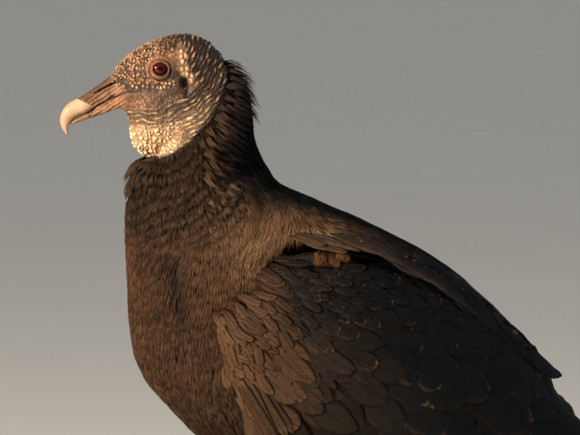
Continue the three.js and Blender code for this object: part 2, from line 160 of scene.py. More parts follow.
def newMesh(name, points, faces):  # from rows of corners, all faces with as many sides
    mesh = bpy.data.meshes.new(name)
    mesh.vertices.add(len(points))
    mesh.vertices.foreach_set("co", np.ascontiguousarray(points, np.float32).ravel())
    mesh.loops.add(faces.size)
    mesh.loops.foreach_set("vertex_index", faces.ravel().astype(np.int32))
    mesh.polygons.add(len(faces))
    mesh.polygons.foreach_set("loop_start", np.arange(0, faces.size, faces.shape[1], dtype=np.int32))
    mesh.update(calc_edges=True)
    return mesh


def addPiece(name, points, faces, material, slot, **layers):  # a smooth piece, with colour layers on its points
    mesh = newMesh(name, place(points), faces)
    mesh.polygons.foreach_set("use_smooth", np.ones(len(mesh.polygons), bool))
    for key, values in layers.items():
        layer = mesh.color_attributes.new(name=key, type="FLOAT_COLOR", domain="POINT")
        full = np.ones((len(points), 4), np.float32)
        full[:, :values.shape[1]] = values
        layer.data.foreach_set("color", full.ravel())
    mesh.materials.append(material)
    piece = bpy.data.objects.new(name, mesh)
    bpy.context.scene.collection.objects.link(piece)
    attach(piece, "root")
    return piece


def evaluated(points, faces, steps):  # the mesh after modifiers given as (type, settings)
    obj = bpy.data.objects.new("work", newMesh("work", place(points), faces))
    bpy.context.scene.collection.objects.link(obj)
    for kind, settings in steps:
        modifier = obj.modifiers.new(kind, kind)
        for key, value in settings.items():
            setattr(modifier, key, value)
    graphNow = bpy.context.evaluated_depsgraph_get()
    mesh = bpy.data.meshes.new_from_object(obj.evaluated_get(graphNow))
    bpy.data.objects.remove(obj)
    return mesh


def meshArrays(mesh):  # vertices in millimetres, and faces as an array of quads or triangles
    co = np.empty(len(mesh.vertices) * 3)
    mesh.vertices.foreach_get("co", co)
    sides = len(mesh.polygons[0].vertices)
    flat = np.empty(len(mesh.loops), np.int32)
    mesh.loops.foreach_get("vertex_index", flat)
    return unplace(co.reshape(-1, 3)), flat.reshape(-1, sides)


def remeshed(names, voxel, rounds):
    points, faces = nodeMesh(names)
    return evaluated(points, faces, [
        ("REMESH", dict(mode="VOXEL", voxel_size=voxel / 1000, adaptivity=0)),
        ("SMOOTH", dict(factor=0.5, iterations=rounds))])


def vertexNormals(points, faces):
    corners = points[faces]
    if faces.shape[1] == 4:
        flat = np.cross(corners[:, 2] - corners[:, 0], corners[:, 3] - corners[:, 1])
    else:
        flat = np.cross(corners[:, 1] - corners[:, 0], corners[:, 2] - corners[:, 0])
    total = np.zeros_like(points)
    for k in range(faces.shape[1]):
        np.add.at(total, faces[:, k], flat)
    return unit(total)


class Surface:  # a closed shape that feathers lie on
    def __init__(self, points, faces):
        self.points, self.faces = points, faces
        self.tree = BVHTree.FromPolygons(points.tolist(), faces.tolist())
        self.normals = vertexNormals(points, faces)

    def settle(self, points):  # the nearest places on it, and its smoothed normals there
        spots, normals = np.empty_like(points), np.empty_like(points)
        for i, p in enumerate(points.tolist()):
            spot, _, index, _ = self.tree.find_nearest(p)
            corners = self.faces[index]
            weight = 1 / (np.linalg.norm(self.points[corners] - spot, axis=1) + 0.3)
            spots[i] = spot
            normals[i] = weight @ self.normals[corners]
        return spots, unit(normals)

    def scatter(self, spacingAt, inside, count):  # roots no nearer each other than spacingAt says
        corners = self.points[self.faces]
        centre = corners.mean(1)
        keep = np.flatnonzero(inside(centre, unit(self.normals[self.faces].mean(1))))
        corners = corners[keep]
        area = np.linalg.norm(np.cross(corners[:, 1] - corners[:, 0], corners[:, 2] - corners[:, 0]), axis=1)
        pick = dice.choice(len(corners), count, p=area / area.sum())
        a, b = np.sort(dice.random((2, count)), axis=0)
        chosen = corners[pick]
        points = (chosen[:, 0] * a[:, None] + chosen[:, 1] * (b - a)[:, None] + chosen[:, 2] * (1 - b)[:, None])
        spacing = spacingAt(points)
        cell = spacing.max()
        steps = [(i, j, k) for i in (-1, 0, 1) for j in (-1, 0, 1) for k in (-1, 0, 1)]
        grid, kept = {}, []
        for i, (p, gap) in enumerate(zip(points.tolist(), spacing.tolist())):
            a, b, c = (int(value // cell) for value in p)
            close = (q for da, db, dc in steps for q in grid.get((a + da, b + db, c + dc), ()))
            if all(math.dist(p, q) >= gap for q in close):
                grid.setdefault((a, b, c), []).append(p)
                kept.append(i)
        return points[kept]


def triangles(faces):
    return np.concatenate([faces[:, [0, 1, 2]], faces[:, [0, 2, 3]]]) if faces.shape[1] == 4 else faces


# colours

def paint(r, g, b):  # a screen colour, 0 to 255, as scene light
    c = np.array([r, g, b], float) / 255
    return np.where(c <= 0.04045, c / 12.92, ((c + 0.055) / 1.055) ** 2.4)


def even(colour, p):  # one colour for every point
    return np.repeat(colour[None], len(p), 0)


def blended(base, tint, amount):
    return base + (tint - base) * np.asarray(amount)[..., None]


# where bare skin ends and plumage begins

napeEdge = np.array([-74.6, 446.4])  # the top of the edge, at the nape
edgeRun, edgeOut = np.array([-0.601, -0.798]), np.array([0.798, -0.601])
edgeBulge = graph([(0, 0), (10, 7.6), (23, 11.6), (35.6, 13.8), (49.4, 12.6), (62.4, 10.8), (74.8, 5.7),
                   (82.7, 0), (92, -12)])


def pastEdge(p):  # millimetres into the plumage from the bare head, seen from the side
    rel = p[..., 1:3] - napeEdge
    return rel @ edgeOut - edgeBulge(rel @ edgeRun)


coatFolds = dict(rowPitch=6.8, rowHeight=2.3, rowLightAndShade=1.4, furrow=3.0, throatPouch=11, napeDraw=9)  # millimetres
collarLine = graph([(-175, 318), (-142, 319.5), (-124, 315), (-112, 317), (-89, 324), (-60, 335), (-30, 352)])


def foldPhase(p):  # how far up each of the neck's draped rows a place is, 0 at its lip
    y, z = p[:, 1], p[:, 2]
    slant = mix(-0.42, -0.62, ramp(y, -120, -70)) * (y + 120)
    phase = (slant + 0.9 * z + 4.6 * noise(p, 26, 141) + noise(p, 8, 142)) / coatFolds["rowPitch"]
    return phase - np.floor(phase)


def neckFolds(p):  # 0 in the crease above each row, rising to 1 at its lip
    phase = foldPhase(p)
    return (1 - phase) * ramp(phase, 0, 0.15)


def onNeck(p):
    y, z = p[:, 1], p[:, 2]
    faded = ramp(z - collarLine(y) + 6 * noise(p, 15, 145), -4, 18)
    return faded * ramp(-z, -402, -385) * ramp(-y, 42, 74)


def breastFurrow(p):
    y, z = p[:, 1], p[:, 2]
    return hump(y + 0.12 * (z - 290) + 3 * noise(p, 20, 143), -111, 9) * ramp(z, 262, 280) * ramp(-z, -322, -312)


def napeRelief(p):  # how the neck's rear outline draws in below the ruff
    drawn = hump(p[:, 2], 385, 24) * ramp(-p[:, 1], 42, 58)
    return ramp(p[:, 1], -98, -62) * (2 * hump(p[:, 2], 418, 20) - coatFolds["napeDraw"] * drawn)


def coatRelief(p):  # folds and rolls that the plumage makes, in millimetres
    y, z = p[:, 1], p[:, 2]
    above = z - collarLine(y)
    roll = 0.6 * ramp(above, -2, 1.5) * ramp(-above, -26, -3) * ramp(-y, 55, 80)
    front = coatFolds["throatPouch"] * ramp(-y, 114, 132) * ramp(z, 350, 370) * ramp(-z, -400, -390)
    rows = coatFolds["rowHeight"] * onNeck(p) * (neckFolds(p) - 0.6)
    return roll + front + napeRelief(p) + rows - coatFolds["furrow"] * breastFurrow(p) + 0.7 * noise(p, 17, 144)


# the skin: one surface under the whole bird

skinPlan = dict(
    voxel=1.8, rounds=10, headRounds=24,
    headCuts=2, legCuts=1,  # times that the triangles there are halved
    neckDepth=5.0, bodyDepth=7.0, wingDepth=5.5, thighDepth=5.0,
    foldCentre=(-134.0, 467.0), foldGap=2.95, foldHeight=1.65,
    beadSize=2.15, beadHeight=1.45, pebbleSize=3.1,
    earCrease=1.3, earPit=0.5, nostrilDepth=2.2, gapeDepth=0.95, scuteGap=3.1, scuteHeight=0.34,
)
eyeCentre = np.array([13.4, -118.6, 440.0])
mouthLine = [(-174.7, 407.7), (-165.3, 410.4), (-161, 414.1), (-152.5, 418.8), (-141, 424.1), (-128.3, 425.2)]
nostril = [(-162.6, 423.8), (-149.2, 430.4)]
earFold = [(-107, 449), (-106, 438), (-103, 433), (-100.5, 428), (-101, 423)]
browRidge = [(-102.4, 453), (-103.2, 446), (-102.4, 440), (-99, 436), (-96, 431.8)]
hornSeams = [((0, -168.4, 416.6), (0, -5.5, -13), 1), ((0, -166, 406), (0, -1, -0.2), -1)]  # and which side of the gape
underEye = [(-141, 427.5), (-131, 428.5), (-121, 428.6), (-112, 430)]
flesh = ["head", "neck", "trunk", "wing_arm_left", "wing_arm_right", "thigh_left", "thigh_right",
         "shank_left", "shank_right", "foot_left", "foot_right"]


def refined(points, faces, inside):  # triangles in a zone split in four, and their neighbours to match
    pairs = np.sort(np.stack([faces, np.roll(faces, -1, 1)], -1), -1).reshape(-1, 2)
    edges, edgeOf = np.unique(pairs, axis=0, return_inverse=True)
    edgeOf = edgeOf.reshape(-1, 3)
    split = np.zeros(len(edges), bool)
    split[edgeOf[inside(points[faces].mean(1))]] = True
    middle = np.full(len(edges), -1)
    middle[split] = len(points) + np.arange(split.sum())
    points = np.concatenate([points, points[edges[split]].mean(1)])
    cut = split[edgeOf]
    count = cut.sum(1)
    turn = np.where(count == 1, cut.argmax(1), np.where(count == 2, ((~cut).argmax(1) + 1) % 3, 0))
    order = (turn[:, None] + np.arange(3)) % 3
    a, b, c = np.take_along_axis(faces, order, 1).T
    ab, bc, ca = middle[np.take_along_axis(edgeOf, order, 1)].T
    made = [faces[count == 0]]
    for number, pattern in ((1, [(a, ab, c), (ab, b, c)]), (2, [(ab, b, bc), (a, ab, bc), (a, bc, c)]),
                            (3, [(a, ab, ca), (ab, b, bc), (ca, bc, c), (ab, bc, ca)])):
        made += [np.stack(corner, -1)[count == number] for corner in pattern]
    return points, np.concatenate(made)


def relaxed(points, faces, rounds, weight=1.0):  # smoothing that keeps the size
    pairs = np.concatenate([faces[:, [0, 1]], faces[:, [1, 2]], faces[:, [2, 0]]])
    count = np.bincount(pairs[:, 0], minlength=len(points))[:, None]
    for i in range(rounds):
        mean = np.stack([np.bincount(pairs[:, 0], points[pairs[:, 1], k], len(points)) for k in range(3)], -1)
        step = 0.5 if i % 2 == 0 else -0.53  # in, then out again
        points = points + step * weight * (mean / np.maximum(count, 1) - points)
    return points


def largestPart(points, faces):  # drops stray inner shells
    label = np.arange(len(points))
    while True:
        before = label.copy()
        low = label[faces].min(1)
        for k in range(faces.shape[1]):
            np.minimum.at(label, label[faces[:, k]], low)
            np.minimum.at(label, faces[:, k], low)
        label = label[label]
        if (label == before).all():
            break
    used = label == np.bincount(label).argmax()
    index = np.cumsum(used) - 1
    return points[used], index[faces[used[faces[:, 0]]]]


def coatDepth(p):  # how far the skin lies under the outside of the plumage
    x, y, z = p.T
    depth = mix(skinPlan["neckDepth"], skinPlan["bodyDepth"], ramp(-z, -330, -280))
    depth = mix(depth, skinPlan["wingDepth"], ramp(np.abs(x), 62, 74))
    depth = mix(depth, skinPlan["thighDepth"], ramp(-z, -150, -135))
    depth = depth * ramp(z, 88, 104)  # bare from the heel joint down
    return depth * ramp(pastEdge(p), -1, 10)


def domes(near, following):  # 1 on top of each bead, 0 in the gaps between them
    return np.clip(1.22 - 1.85 * near, 0, 1) ** 0.8 * (0.2 + 0.8 * np.clip((following - near) / 0.3, 0, 1))


def foldPattern(p):  # rings of folds round the brow: how far out, where they show, and their broken rolls
    x, y, z = p.T
    run, up = y - skinPlan["foldCentre"][0], z - skinPlan["foldCentre"][1]
    radius = np.hypot(run, up)
    warped = radius + 1.8 * noise(p, 11, 5) + 1.1 * noise(p, 4.5, 6)
    phase = warped / skinPlan["foldGap"]
    ridge = 1 - np.abs(2 * (phase - np.floor(phase)) - 1) ** 1.5
    row = hashed(np.stack([np.floor(phase), 0 * y, 0 * y], -1), 9)
    stretched = np.stack([warped, np.arctan2(up, run) * radius * 0.48 + 5 * row, 0.25 * x], -1)
    rolls = ridge ** 0.8 * (0.38 + 0.62 * domes(*cells(stretched, skinPlan["foldGap"], 14, 0.8)))
    behindEar = ramp(y + 103.5 - (453 - z) * 0.36, -3, 3) * ramp(z, 424, 432)
    shown = np.maximum(ramp(radius, 51, 60), behindEar)
    shown = np.maximum(shown, 0.5 * ramp(z, 450, 456) * ramp(y, -122, -108)) * ramp(y, -148, -139)
    return radius, shown, rolls


def beadPatterns(p, side, throat):  # small beads that turn to pebbles on the throat, larger ones, and knobs
    x, y, z = p.T
    upright = hump(y, -133, 6) * hump(z, eyeCentre[2] + 1, 8) * side
    tall = np.stack([x, y, eyeCentre[2] + (z - eyeCentre[2]) * (1 - 0.5 * upright)], -1)
    small = domes(*cells(tall + 0.5 * noise(p, 3, 24)[:, None], skinPlan["beadSize"], 20, 0.85))
    near, following = cells(p * [1, 1, 1.25] + 0.7 * noise(p, 4, 23)[:, None], skinPlan["pebbleSize"], 25, 0.9)
    pebble = ramp(following - near, 0.02, 0.5) * (0.75 + 0.25 * domes(near, following))
    return mix(small, pebble, throat), domes(*cells(p, 3.0, 21, 0.7)), domes(*cells(p * [1, 1, 0.8], 3.4, 22, 0.5))


def eyelids(p, side):  # distances from the eye and its lid groove, their zone, and the lids' relief
    y, z = p[:, 1] - eyeCentre[1], p[:, 2] - eyeCentre[2]
    distance = np.hypot(y / 1.05, z / 0.97)
    zone = side * (1 - ramp(distance + 0.6 * noise(p, 4, 26), 7.8, 9.8))
    rearLow = 0.35 + 0.65 * ramp(y * 0.75 - z * 0.65, -3, 3)
    uneven = 1 + 0.5 * noise(p, 3.2, 12)
    groove = distance - 0.9 * ramp(-z, 1, 6)
    lids = (-4.6 * (1 - ramp(distance, 4.2, 4.8)) + 0.6 * hump(distance, 5.3, 0.7) * uneven
            - 1.15 * hump(groove, 7.0, 0.5) * rearLow * uneven + 0.35 * hump(groove, 8.1, 0.7) * uneven
            + 0.2 * noise(p, 1.5, 13) * ramp(distance, 5, 6))
    return distance, groove, rearLow, zone, lids


def headShape(p):  # relief in millimetres on the bare head, and the masks its colours use
    x, y, z = p.T
    side = ramp(np.abs(x), 9, 14)
    radius, folds, rolls = foldPattern(p)
    throat = ramp(radius + 2 * noise(p, 8, 10), 62, 70) * ramp(-y, 98, 110) * ramp(y, -150, -141)
    small, large, knobs = beadPatterns(p, side, throat)
    eyeDistance, lidOut, rearLow, eyeZone, lids = eyelids(p, side)
    clear = 1 - eyeZone

    beneath = hump(pathDistance(p, underEye)[0], 0, 3.4) * side
    forehead = ramp(-y, 116, 126) * ramp(z, 425.5, 431) * ramp(y, -153, -148)
    forehead = np.maximum(forehead, 0.8 * ramp(z, 446, 452) * ramp(-y, 100, 116) * ramp(y, -150, -142))
    warty = np.maximum(throat, forehead) * (1 - beneath) * clear
    jawWarts = (hump(y, -134, 12) * hump(z, 412, 9) * side + 0.35 * ramp(radius, 40, 48) * ramp(y, -138, -128)) * clear
    lumps = hump(pathDistance(p, browRidge)[0], 0, 3.6) * side
    folds = folds * (1 - 0.8 * throat) * (1 - 0.9 * lumps) * clear
    lumps = lumps * clear
    beneath = beneath * ramp(eyeDistance, 8.5, 10.5)
    relief = skinPlan["foldHeight"] * folds * (rolls - 0.45)
    relief += skinPlan["beadHeight"] * ((warty + 0.6 * jawWarts) * (small - 0.4) + 1.35 * beneath * (large - 0.35))
    relief += lumps * (0.7 + 1.5 * (knobs - 0.3))

    earGap, earAlong = pathDistance(p, earFold)
    crease = side * hump(earGap + 0.5 * noise(p, 2.5, 16), 0, 1.7) * (0.4 + 0.6 * ramp(earAlong, 0.2, 0.6))
    pit = ((y + 101.9 + 0.35 * (z - 431)) / 0.9) ** 2 + ((z - 431) / 2.1) ** 2
    ear = side * np.exp(-pit * (1 + 0.5 * noise(p, 2.2, 17)))
    relief -= skinPlan["earCrease"] * crease + skinPlan["earPit"] * ear

    across = (y + 150) * 0.588 - (z - 424) * 0.809  # over the cere, square to its ridges
    cere = ramp(-y, 139, 146) * ramp(np.abs(x), 2, 5)
    grain = np.sin(2 * np.pi * (across + 0.6 * noise(p, 6, 31)) / 2.4)
    relief += cere * (0.34 * grain + 0.30 * noise(p * [1, 0.4, 0.6], 1.6, 33))
    hatch = ramp(-y, 122, 130) * ramp(-across, 0, 3) * (1 - warty) * side
    relief += 0.16 * hatch * np.sin(2 * np.pi * (0.94 * y + 0.34 * z + 0.5 * noise(p, 4, 34)) / 1.5)
    slot = pathDistance(p, nostril)[0] + 0.25 * noise(p, 1.6, 35)
    relief += cere * (0.4 * hump(slot, 2.0, 0.7) - skinPlan["nostrilDepth"] * (1 - ramp(slot, 0.35, 0.95)))

    gape, gapeAlong = pathDistance(p, mouthLine)
    relief -= ramp(np.abs(x), 2, 4) * skinPlan["gapeDepth"] * hump(gape, 0, 0.6) * (1 - ramp(gapeAlong, 0.85, 1.0))
    relief += 0.16 * noise(p, 1.3, 41) + 0.12 * noise(p, 0.9, 42)
    aboveGape = z - np.interp(y, *zip(*mouthLine))
    for point, way, half in hornSeams:  # sinks below the horn's own piece
        inside = (p - np.array(point)) @ unit(np.array(way, float))
        seam = ramp(inside, -0.3, 0.9) * ramp(half * aboveGape, -0.8, 0.2) * ramp(-y, 150, 156)
        relief -= (0.55 + 0.25 * half) * seam

    # painted shade: a mask for the creases between folds, gaps between beads, ear fold, gape, lid groove and cere
    # troughs, where shade falls
    recessShade = np.clip(1.8 * folds * (1 - rolls) + warty * (1 - small) + 1.1 * beneath * (1 - large) + 0.8 * crease
                     + hump(gape, 0, 0.8) * (gapeAlong < 0.95) + eyeZone * hump(lidOut, 7.0, 0.6) * rearLow * 1.3
                     + 0.5 * lumps * (1 - knobs) + 0.22 * cere * ramp(-grain, 0.3, 0.95), 0, 1)
    # painted highlight: a mask for the tops of the folds, beads and lumps, where light would catch
    top = np.clip(0.75 * folds * rolls ** 1.3 + 1.1 * warty * small + 1.1 * beneath * large + lumps * (0.4 + knobs)
                  + 0.5 * jawWarts * small + 0.3 * cere * ramp(grain, 0.3, 0.95) * (0.5 + 0.5 * noise(p, 3, 36)), 0, 1)
    return relief + eyeZone * lids, dict(
        recessShade=recessShade, top=top, throat=throat, ear=ear, cere=cere, slot=slot, eye=eyeDistance, lid=lidOut,
        forehead=forehead, radius=radius, side=side, across=across, rear=rearLow)


headTints = dict(
    crown=paint(126, 90, 64), forehead=paint(138, 90, 62), cheek=paint(54, 33, 19), nape=paint(122, 88, 66),
    # the ear colour is painted shade, used in the ear pit and the nostril
    throat=paint(240, 194, 146), ear=paint(22, 13, 9), cere=paint(138, 100, 74), jaw=paint(84, 54, 33),
    # the crease colour is painted shade, and the two ridge colours are painted highlights
    recessShade=paint(32, 19, 12), ridge=paint(252, 206, 160), paleRidgeHighlight=paint(255, 238, 206), lid=paint(96, 68, 47),
    # the lid groove colour is painted shade
    lidGrooveShade=paint(24, 15, 11), under=paint(26, 19, 14), leg=paint(146, 140, 134), legDark=paint(74, 68, 64),
)


def headColour(p, masks):
    y, z = p[:, 1], p[:, 2]
    t = headTints
    colour = even(t["cheek"], p)
    colour = blended(colour, t["crown"], ramp(z, 438, 450))
    colour = blended(colour, t["nape"], ramp(y, -98, -82) * ramp(z, 400, 425))
    colour = blended(colour, t["forehead"], masks["forehead"])
    colour = blended(colour, t["jaw"], ramp(-y, 120, 134) * ramp(-z, -428, -422))
    pale = np.maximum(masks["throat"], 0.5 * ramp(masks["radius"], 50, 64) * ramp(-z, -428, -404) * ramp(y, -146, -138))
    colour = blended(colour, t["throat"], pale)
    colour = blended(colour, t["cere"], masks["cere"])
    colour = blended(colour, t["jaw"], 0.8 * masks["cere"] * ramp(-masks["across"], 0, 5))
    # painted highlight on the tops of folds and beads, paler on the throat and fading toward the nape, which lies in
    # shade
    lit = 0.8 * masks["top"] * (0.75 + 0.35 * noise(p, 6, 51)) * (1 - 0.25 * ramp(y, -92, -78))
    colour = blended(colour, blended(t["ridge"][None], t["paleRidgeHighlight"], pale), lit)
    # painted shade in the skin's creases, pits and grooves, a little weaker on the pale throat
    colour = blended(colour, t["recessShade"], (0.95 - 0.30 * pale) * masks["recessShade"])
    colour = blended(colour, t["lid"], masks["side"] * hump(masks["eye"], 5.4, 0.9) * 0.8)
    # painted shade in the groove round the lids and in the rim where the lids meet the eye
    groove = np.maximum(hump(masks["lid"], 7.0, 0.5) * masks["rear"], 1 - ramp(masks["eye"], 4.4, 4.9))
    colour = blended(colour, t["lidGrooveShade"], masks["side"] * groove)
    # painted shade in the ear pit and, below, in the nostril slot
    colour = blended(colour, t["ear"], 0.85 * masks["ear"])
    colour = blended(colour, t["ear"], masks["cere"] * (1 - ramp(masks["slot"], 0.6, 1.1)))
    return colour * (1 + 0.22 * noise(p, 3.1, 52) + 0.14 * noise(p, 1.1, 53))[:, None]


def buildSkin():
    mesh = remeshed(flesh + ["eye_left", "eye_right", "bill_upper", "bill_lower"], skinPlan["voxel"], 2)
    points, faces = largestPart(*meshArrays(mesh))
    faces = triangles(faces)
    for _ in range(skinPlan["headCuts"]):
        points, faces = refined(points, faces, lambda c: (pastEdge(c) < 6) & (c[:, 2] > 370))
    for _ in range(skinPlan["legCuts"]):
        points, faces = refined(points, faces, lambda c: c[:, 2] < 96)
    head = ramp(-pastEdge(points), -4, 0) * ramp(points[:, 2], 366, 372)
    points = relaxed(points, faces, skinPlan["rounds"])
    points = relaxed(points, faces, skinPlan["headRounds"], (0.25 + 0.75 * head)[:, None])
    normals = vertexNormals(points, faces)
    follow = coatRelief(points)
    follow = follow * (0.9 + 0.25 * ramp(follow, 3, 9)) * ramp(pastEdge(points), -1, 4) * ramp(points[:, 2], 250, 300)
    points = points - normals * (coatDepth(points) - follow)[:, None]
    colour = even(headTints["under"], points) * (1 + 0.2 * noise(points, 5, 61))[:, None]

    onHead = np.flatnonzero((pastEdge(points) < 8) & (points[:, 2] > 368))
    relief, masks = headShape(points[onHead])
    points[onHead] += normals[onHead] * (relief * ramp(-pastEdge(points[onHead]), -6, 0))[:, None]
    p = points[onHead]
    colour[onHead] = blended(colour[onHead], headColour(p, masks), ramp(-pastEdge(p), -3, 0.5))

    legs = np.flatnonzero(points[:, 2] < 104)  # broad scutes in front, net scales elsewhere
    p = points[legs]
    bands = 1 - np.abs(2 * ((p[:, 1] * 0.9 + p[:, 2] * 0.45) / skinPlan["scuteGap"] % 1) - 1) ** 3
    near, following = cells(p, 2.3, 70)
    net = np.clip(following - near, 0, 0.3) / 0.3
    scale = mix(net, bands, ramp(normals[legs, 2] - 0.8 * normals[legs, 1], 0.1, 0.5))
    fade = ramp(-p[:, 2], -100, -90) * ramp(p[:, 2], 0.5, 2.0)
    points[legs] += normals[legs] * (skinPlan["scuteHeight"] * (scale - 0.6) * fade)[:, None]
    shade = blended(even(headTints["legDark"], p), headTints["leg"], 0.25 + 0.75 * scale)
    shade = shade * (1 + 0.2 * noise(p, 6, 71))[:, None]
    colour[legs] = blended(colour[legs], shade, ramp(-p[:, 2], -104, -96))
    return points, faces, np.clip(colour, 0.001, 0.95)


# materials, and the shader groups that they share

def nodeGroup(name, inputs, outputs):  # a shader group with named sockets
    tree = bpy.data.node_groups.new(name, "ShaderNodeTree")
    kinds = dict(value="NodeSocketFloat", colour="NodeSocketColor")
    for label, kind, start in inputs:
        socket = tree.interface.new_socket(name=label, in_out="INPUT", socket_type=kinds[kind])
        if start is not None:
            socket.default_value = start
    for label, kind in outputs:
        tree.interface.new_socket(name=label, in_out="OUTPUT", socket_type=kinds[kind])
    return tree, tree.nodes.new("NodeGroupInput"), tree.nodes.new("NodeGroupOutput")


def put(tree, kind, links=(), **settings):  # one node: settings by property or by input name, then its links
    node = tree.nodes.new("ShaderNode" + kind)
    for key, value in settings.items():
        if hasattr(node, key):
            setattr(node, key, value)
        else:
            node.inputs[key.replace("_", " ")].default_value = value
    for socket, source in links:
        tree.links.new(source, node.inputs[socket])
    return node


def sums(tree, operation, a, b):  # a Math node on two sockets or numbers
    node = tree.nodes.new("ShaderNodeMath")
    node.operation = operation
    for socket, source in zip(node.inputs, (a, b)):
        if isinstance(source, (int, float)):
            socket.default_value = source
        else:
            tree.links.new(source, socket)
    return node.outputs[0]


def tinted(tree, colour, value, low, high):  # a colour made darker or lighter by a 0 to 1 value
    amount = put(tree, "MapRange", [("Value", value)], To_Min=low, To_Max=high).outputs[0]
    return put(tree, "VectorMath", [(0, colour), ("Scale", amount)], operation="SCALE").outputs[0]


def makeBarbs():  # fine barbs slanting off a feather's shaft
    tree, given, out = nodeGroup("featherBarbs", [
        ("Tint", "colour", None), ("Vane", "colour", None), ("Slant", "value", 1.3), ("Depth", "value", 0.4),
        ("Shaft", "value", 1.0)], [("Colour", "colour"), ("Roughness", "value"), ("Height", "value")])
    parts = put(tree, "SeparateColor", [("Color", given.outputs["Vane"])])
    along = sums(tree, "MULTIPLY", parts.outputs[0], 100.0)
    across = sums(tree, "MULTIPLY", sums(tree, "SUBTRACT", parts.outputs[1], 0.5), 100.0)
    side = sums(tree, "ABSOLUTE", across, 0.0)
    slanted = sums(tree, "SUBTRACT", along, sums(tree, "MULTIPLY", side, given.outputs["Slant"]))
    spot = put(tree, "CombineXYZ", [(0, sums(tree, "MULTIPLY", slanted, 2.4)), (1, sums(tree, "MULTIPLY", side, 0.22)),
                                    (2, sums(tree, "MULTIPLY", parts.outputs[2], 3.0))])
    streak = put(tree, "TexNoise", [("Vector", spot.outputs[0])], Scale=1.0, Detail=3.0, Roughness=0.6)
    broad = put(tree, "TexNoise", [("Vector", spot.outputs[0])], Scale=0.18, Detail=2.0, Roughness=0.5)
    both = sums(tree, "ADD", sums(tree, "MULTIPLY", streak.outputs[0], 0.6),
                sums(tree, "MULTIPLY", broad.outputs[0], 0.4))
    level = put(tree, "MapRange", [("Value", both)], From_Min=0.3, From_Max=0.7).outputs[0]
    shaft = put(tree, "MapRange", [("Value", side)], From_Min=0.25, From_Max=0.6, To_Min=1.0, To_Max=0.0).outputs[0]
    shaft = sums(tree, "MULTIPLY", shaft, given.outputs["Shaft"])
    colour = tinted(tree, given.outputs["Tint"], level, 0.62, 1.38)
    colour = tinted(tree, colour, shaft, 1.0, 0.45)
    tree.links.new(colour, out.inputs["Colour"])
    rough = put(tree, "MapRange", [("Value", level)], To_Min=0.42, To_Max=0.72).outputs[0]
    tree.links.new(rough, out.inputs["Roughness"])
    raised = sums(tree, "ADD", sums(tree, "MULTIPLY", level, given.outputs["Depth"]),
                  sums(tree, "MULTIPLY", shaft, 0.5))
    tree.links.new(raised, out.inputs["Height"])
    return tree


def makeGrain():  # pores and fine creases of skin, horn or scale
    tree, given, out = nodeGroup("fineGrain", [
        ("Tint", "colour", None), ("Size", "value", 900.0), ("Creases", "value", 0.5), ("Mottle", "value", 0.2)],
        [("Colour", "colour"), ("Roughness", "value"), ("Height", "value")])
    where = put(tree, "TexCoord").outputs["Object"]
    fine = put(tree, "TexNoise", [("Vector", where), ("Scale", given.outputs["Size"])], Detail=4.0, Roughness=0.6)
    creaseSize = sums(tree, "MULTIPLY", given.outputs["Size"], 0.7)
    crease = put(tree, "TexVoronoi", [("Vector", where), ("Scale", creaseSize)], feature="DISTANCE_TO_EDGE")
    edge = put(tree, "MapRange", [("Value", crease.outputs["Distance"])], From_Max=0.25).outputs[0]
    blotch = put(tree, "TexNoise", [("Vector", where), ("Scale", sums(tree, "MULTIPLY", given.outputs["Size"], 0.16))],
                 Detail=3.0)
    level = put(tree, "MapRange", [("Value", blotch.outputs[0])], From_Min=0.32, From_Max=0.68).outputs[0]
    dark = sums(tree, "SUBTRACT", 1.0, given.outputs["Mottle"])
    light = sums(tree, "ADD", 1.0, given.outputs["Mottle"])
    amount = put(tree, "MapRange", [("Value", level), ("To Min", dark), ("To Max", light)]).outputs[0]
    colour = put(tree, "VectorMath", [(0, given.outputs["Tint"]), ("Scale", amount)], operation="SCALE").outputs[0]
    # painted shade: the fine creases are made darker
    creased = sums(tree, "MULTIPLY", sums(tree, "SUBTRACT", 1.0, edge), given.outputs["Creases"])
    colour = tinted(tree, colour, creased, 1.0, 0.55)
    tree.links.new(colour, out.inputs["Colour"])
    rough = put(tree, "MapRange", [("Value", fine.outputs[0])], To_Min=0.38, To_Max=0.78).outputs[0]
    tree.links.new(rough, out.inputs["Roughness"])
    height = sums(tree, "ADD", fine.outputs[0], sums(tree, "MULTIPLY", edge, given.outputs["Creases"]))
    tree.links.new(height, out.inputs["Height"])
    return tree


barbs, grain = makeBarbs(), makeGrain()


def material(name, group, values, look, bump=0.3, bumpSize=0.0002, vane=False):  # a shader with one shared effect
    made = bpy.data.materials.new(name)
    made.use_nodes = True
    tree = made.node_tree
    tree.nodes.clear()
    out = tree.nodes.new("ShaderNodeOutputMaterial")
    shade = put(tree, "BsdfPrincipled", **look)
    tree.links.new(shade.outputs[0], out.inputs["Surface"])
    tint = put(tree, "Attribute", attribute_name="tint").outputs["Color"]
    effect = tree.nodes.new("ShaderNodeGroup")
    effect.node_tree = group
    tree.links.new(tint, effect.inputs["Tint"])
    if vane:
        tree.links.new(put(tree, "Attribute", attribute_name="vane").outputs["Color"], effect.inputs["Vane"])
    for key, value in values.items():
        effect.inputs[key].default_value = value
    tree.links.new(effect.outputs["Colour"], shade.inputs["Base Color"])
    tree.links.new(effect.outputs["Roughness"], shade.inputs["Roughness"])
    relief = put(tree, "Bump", [("Height", effect.outputs["Height"])], Strength=bump, Distance=bumpSize)
    tree.links.new(relief.outputs[0], shade.inputs["Normal"])
    return made


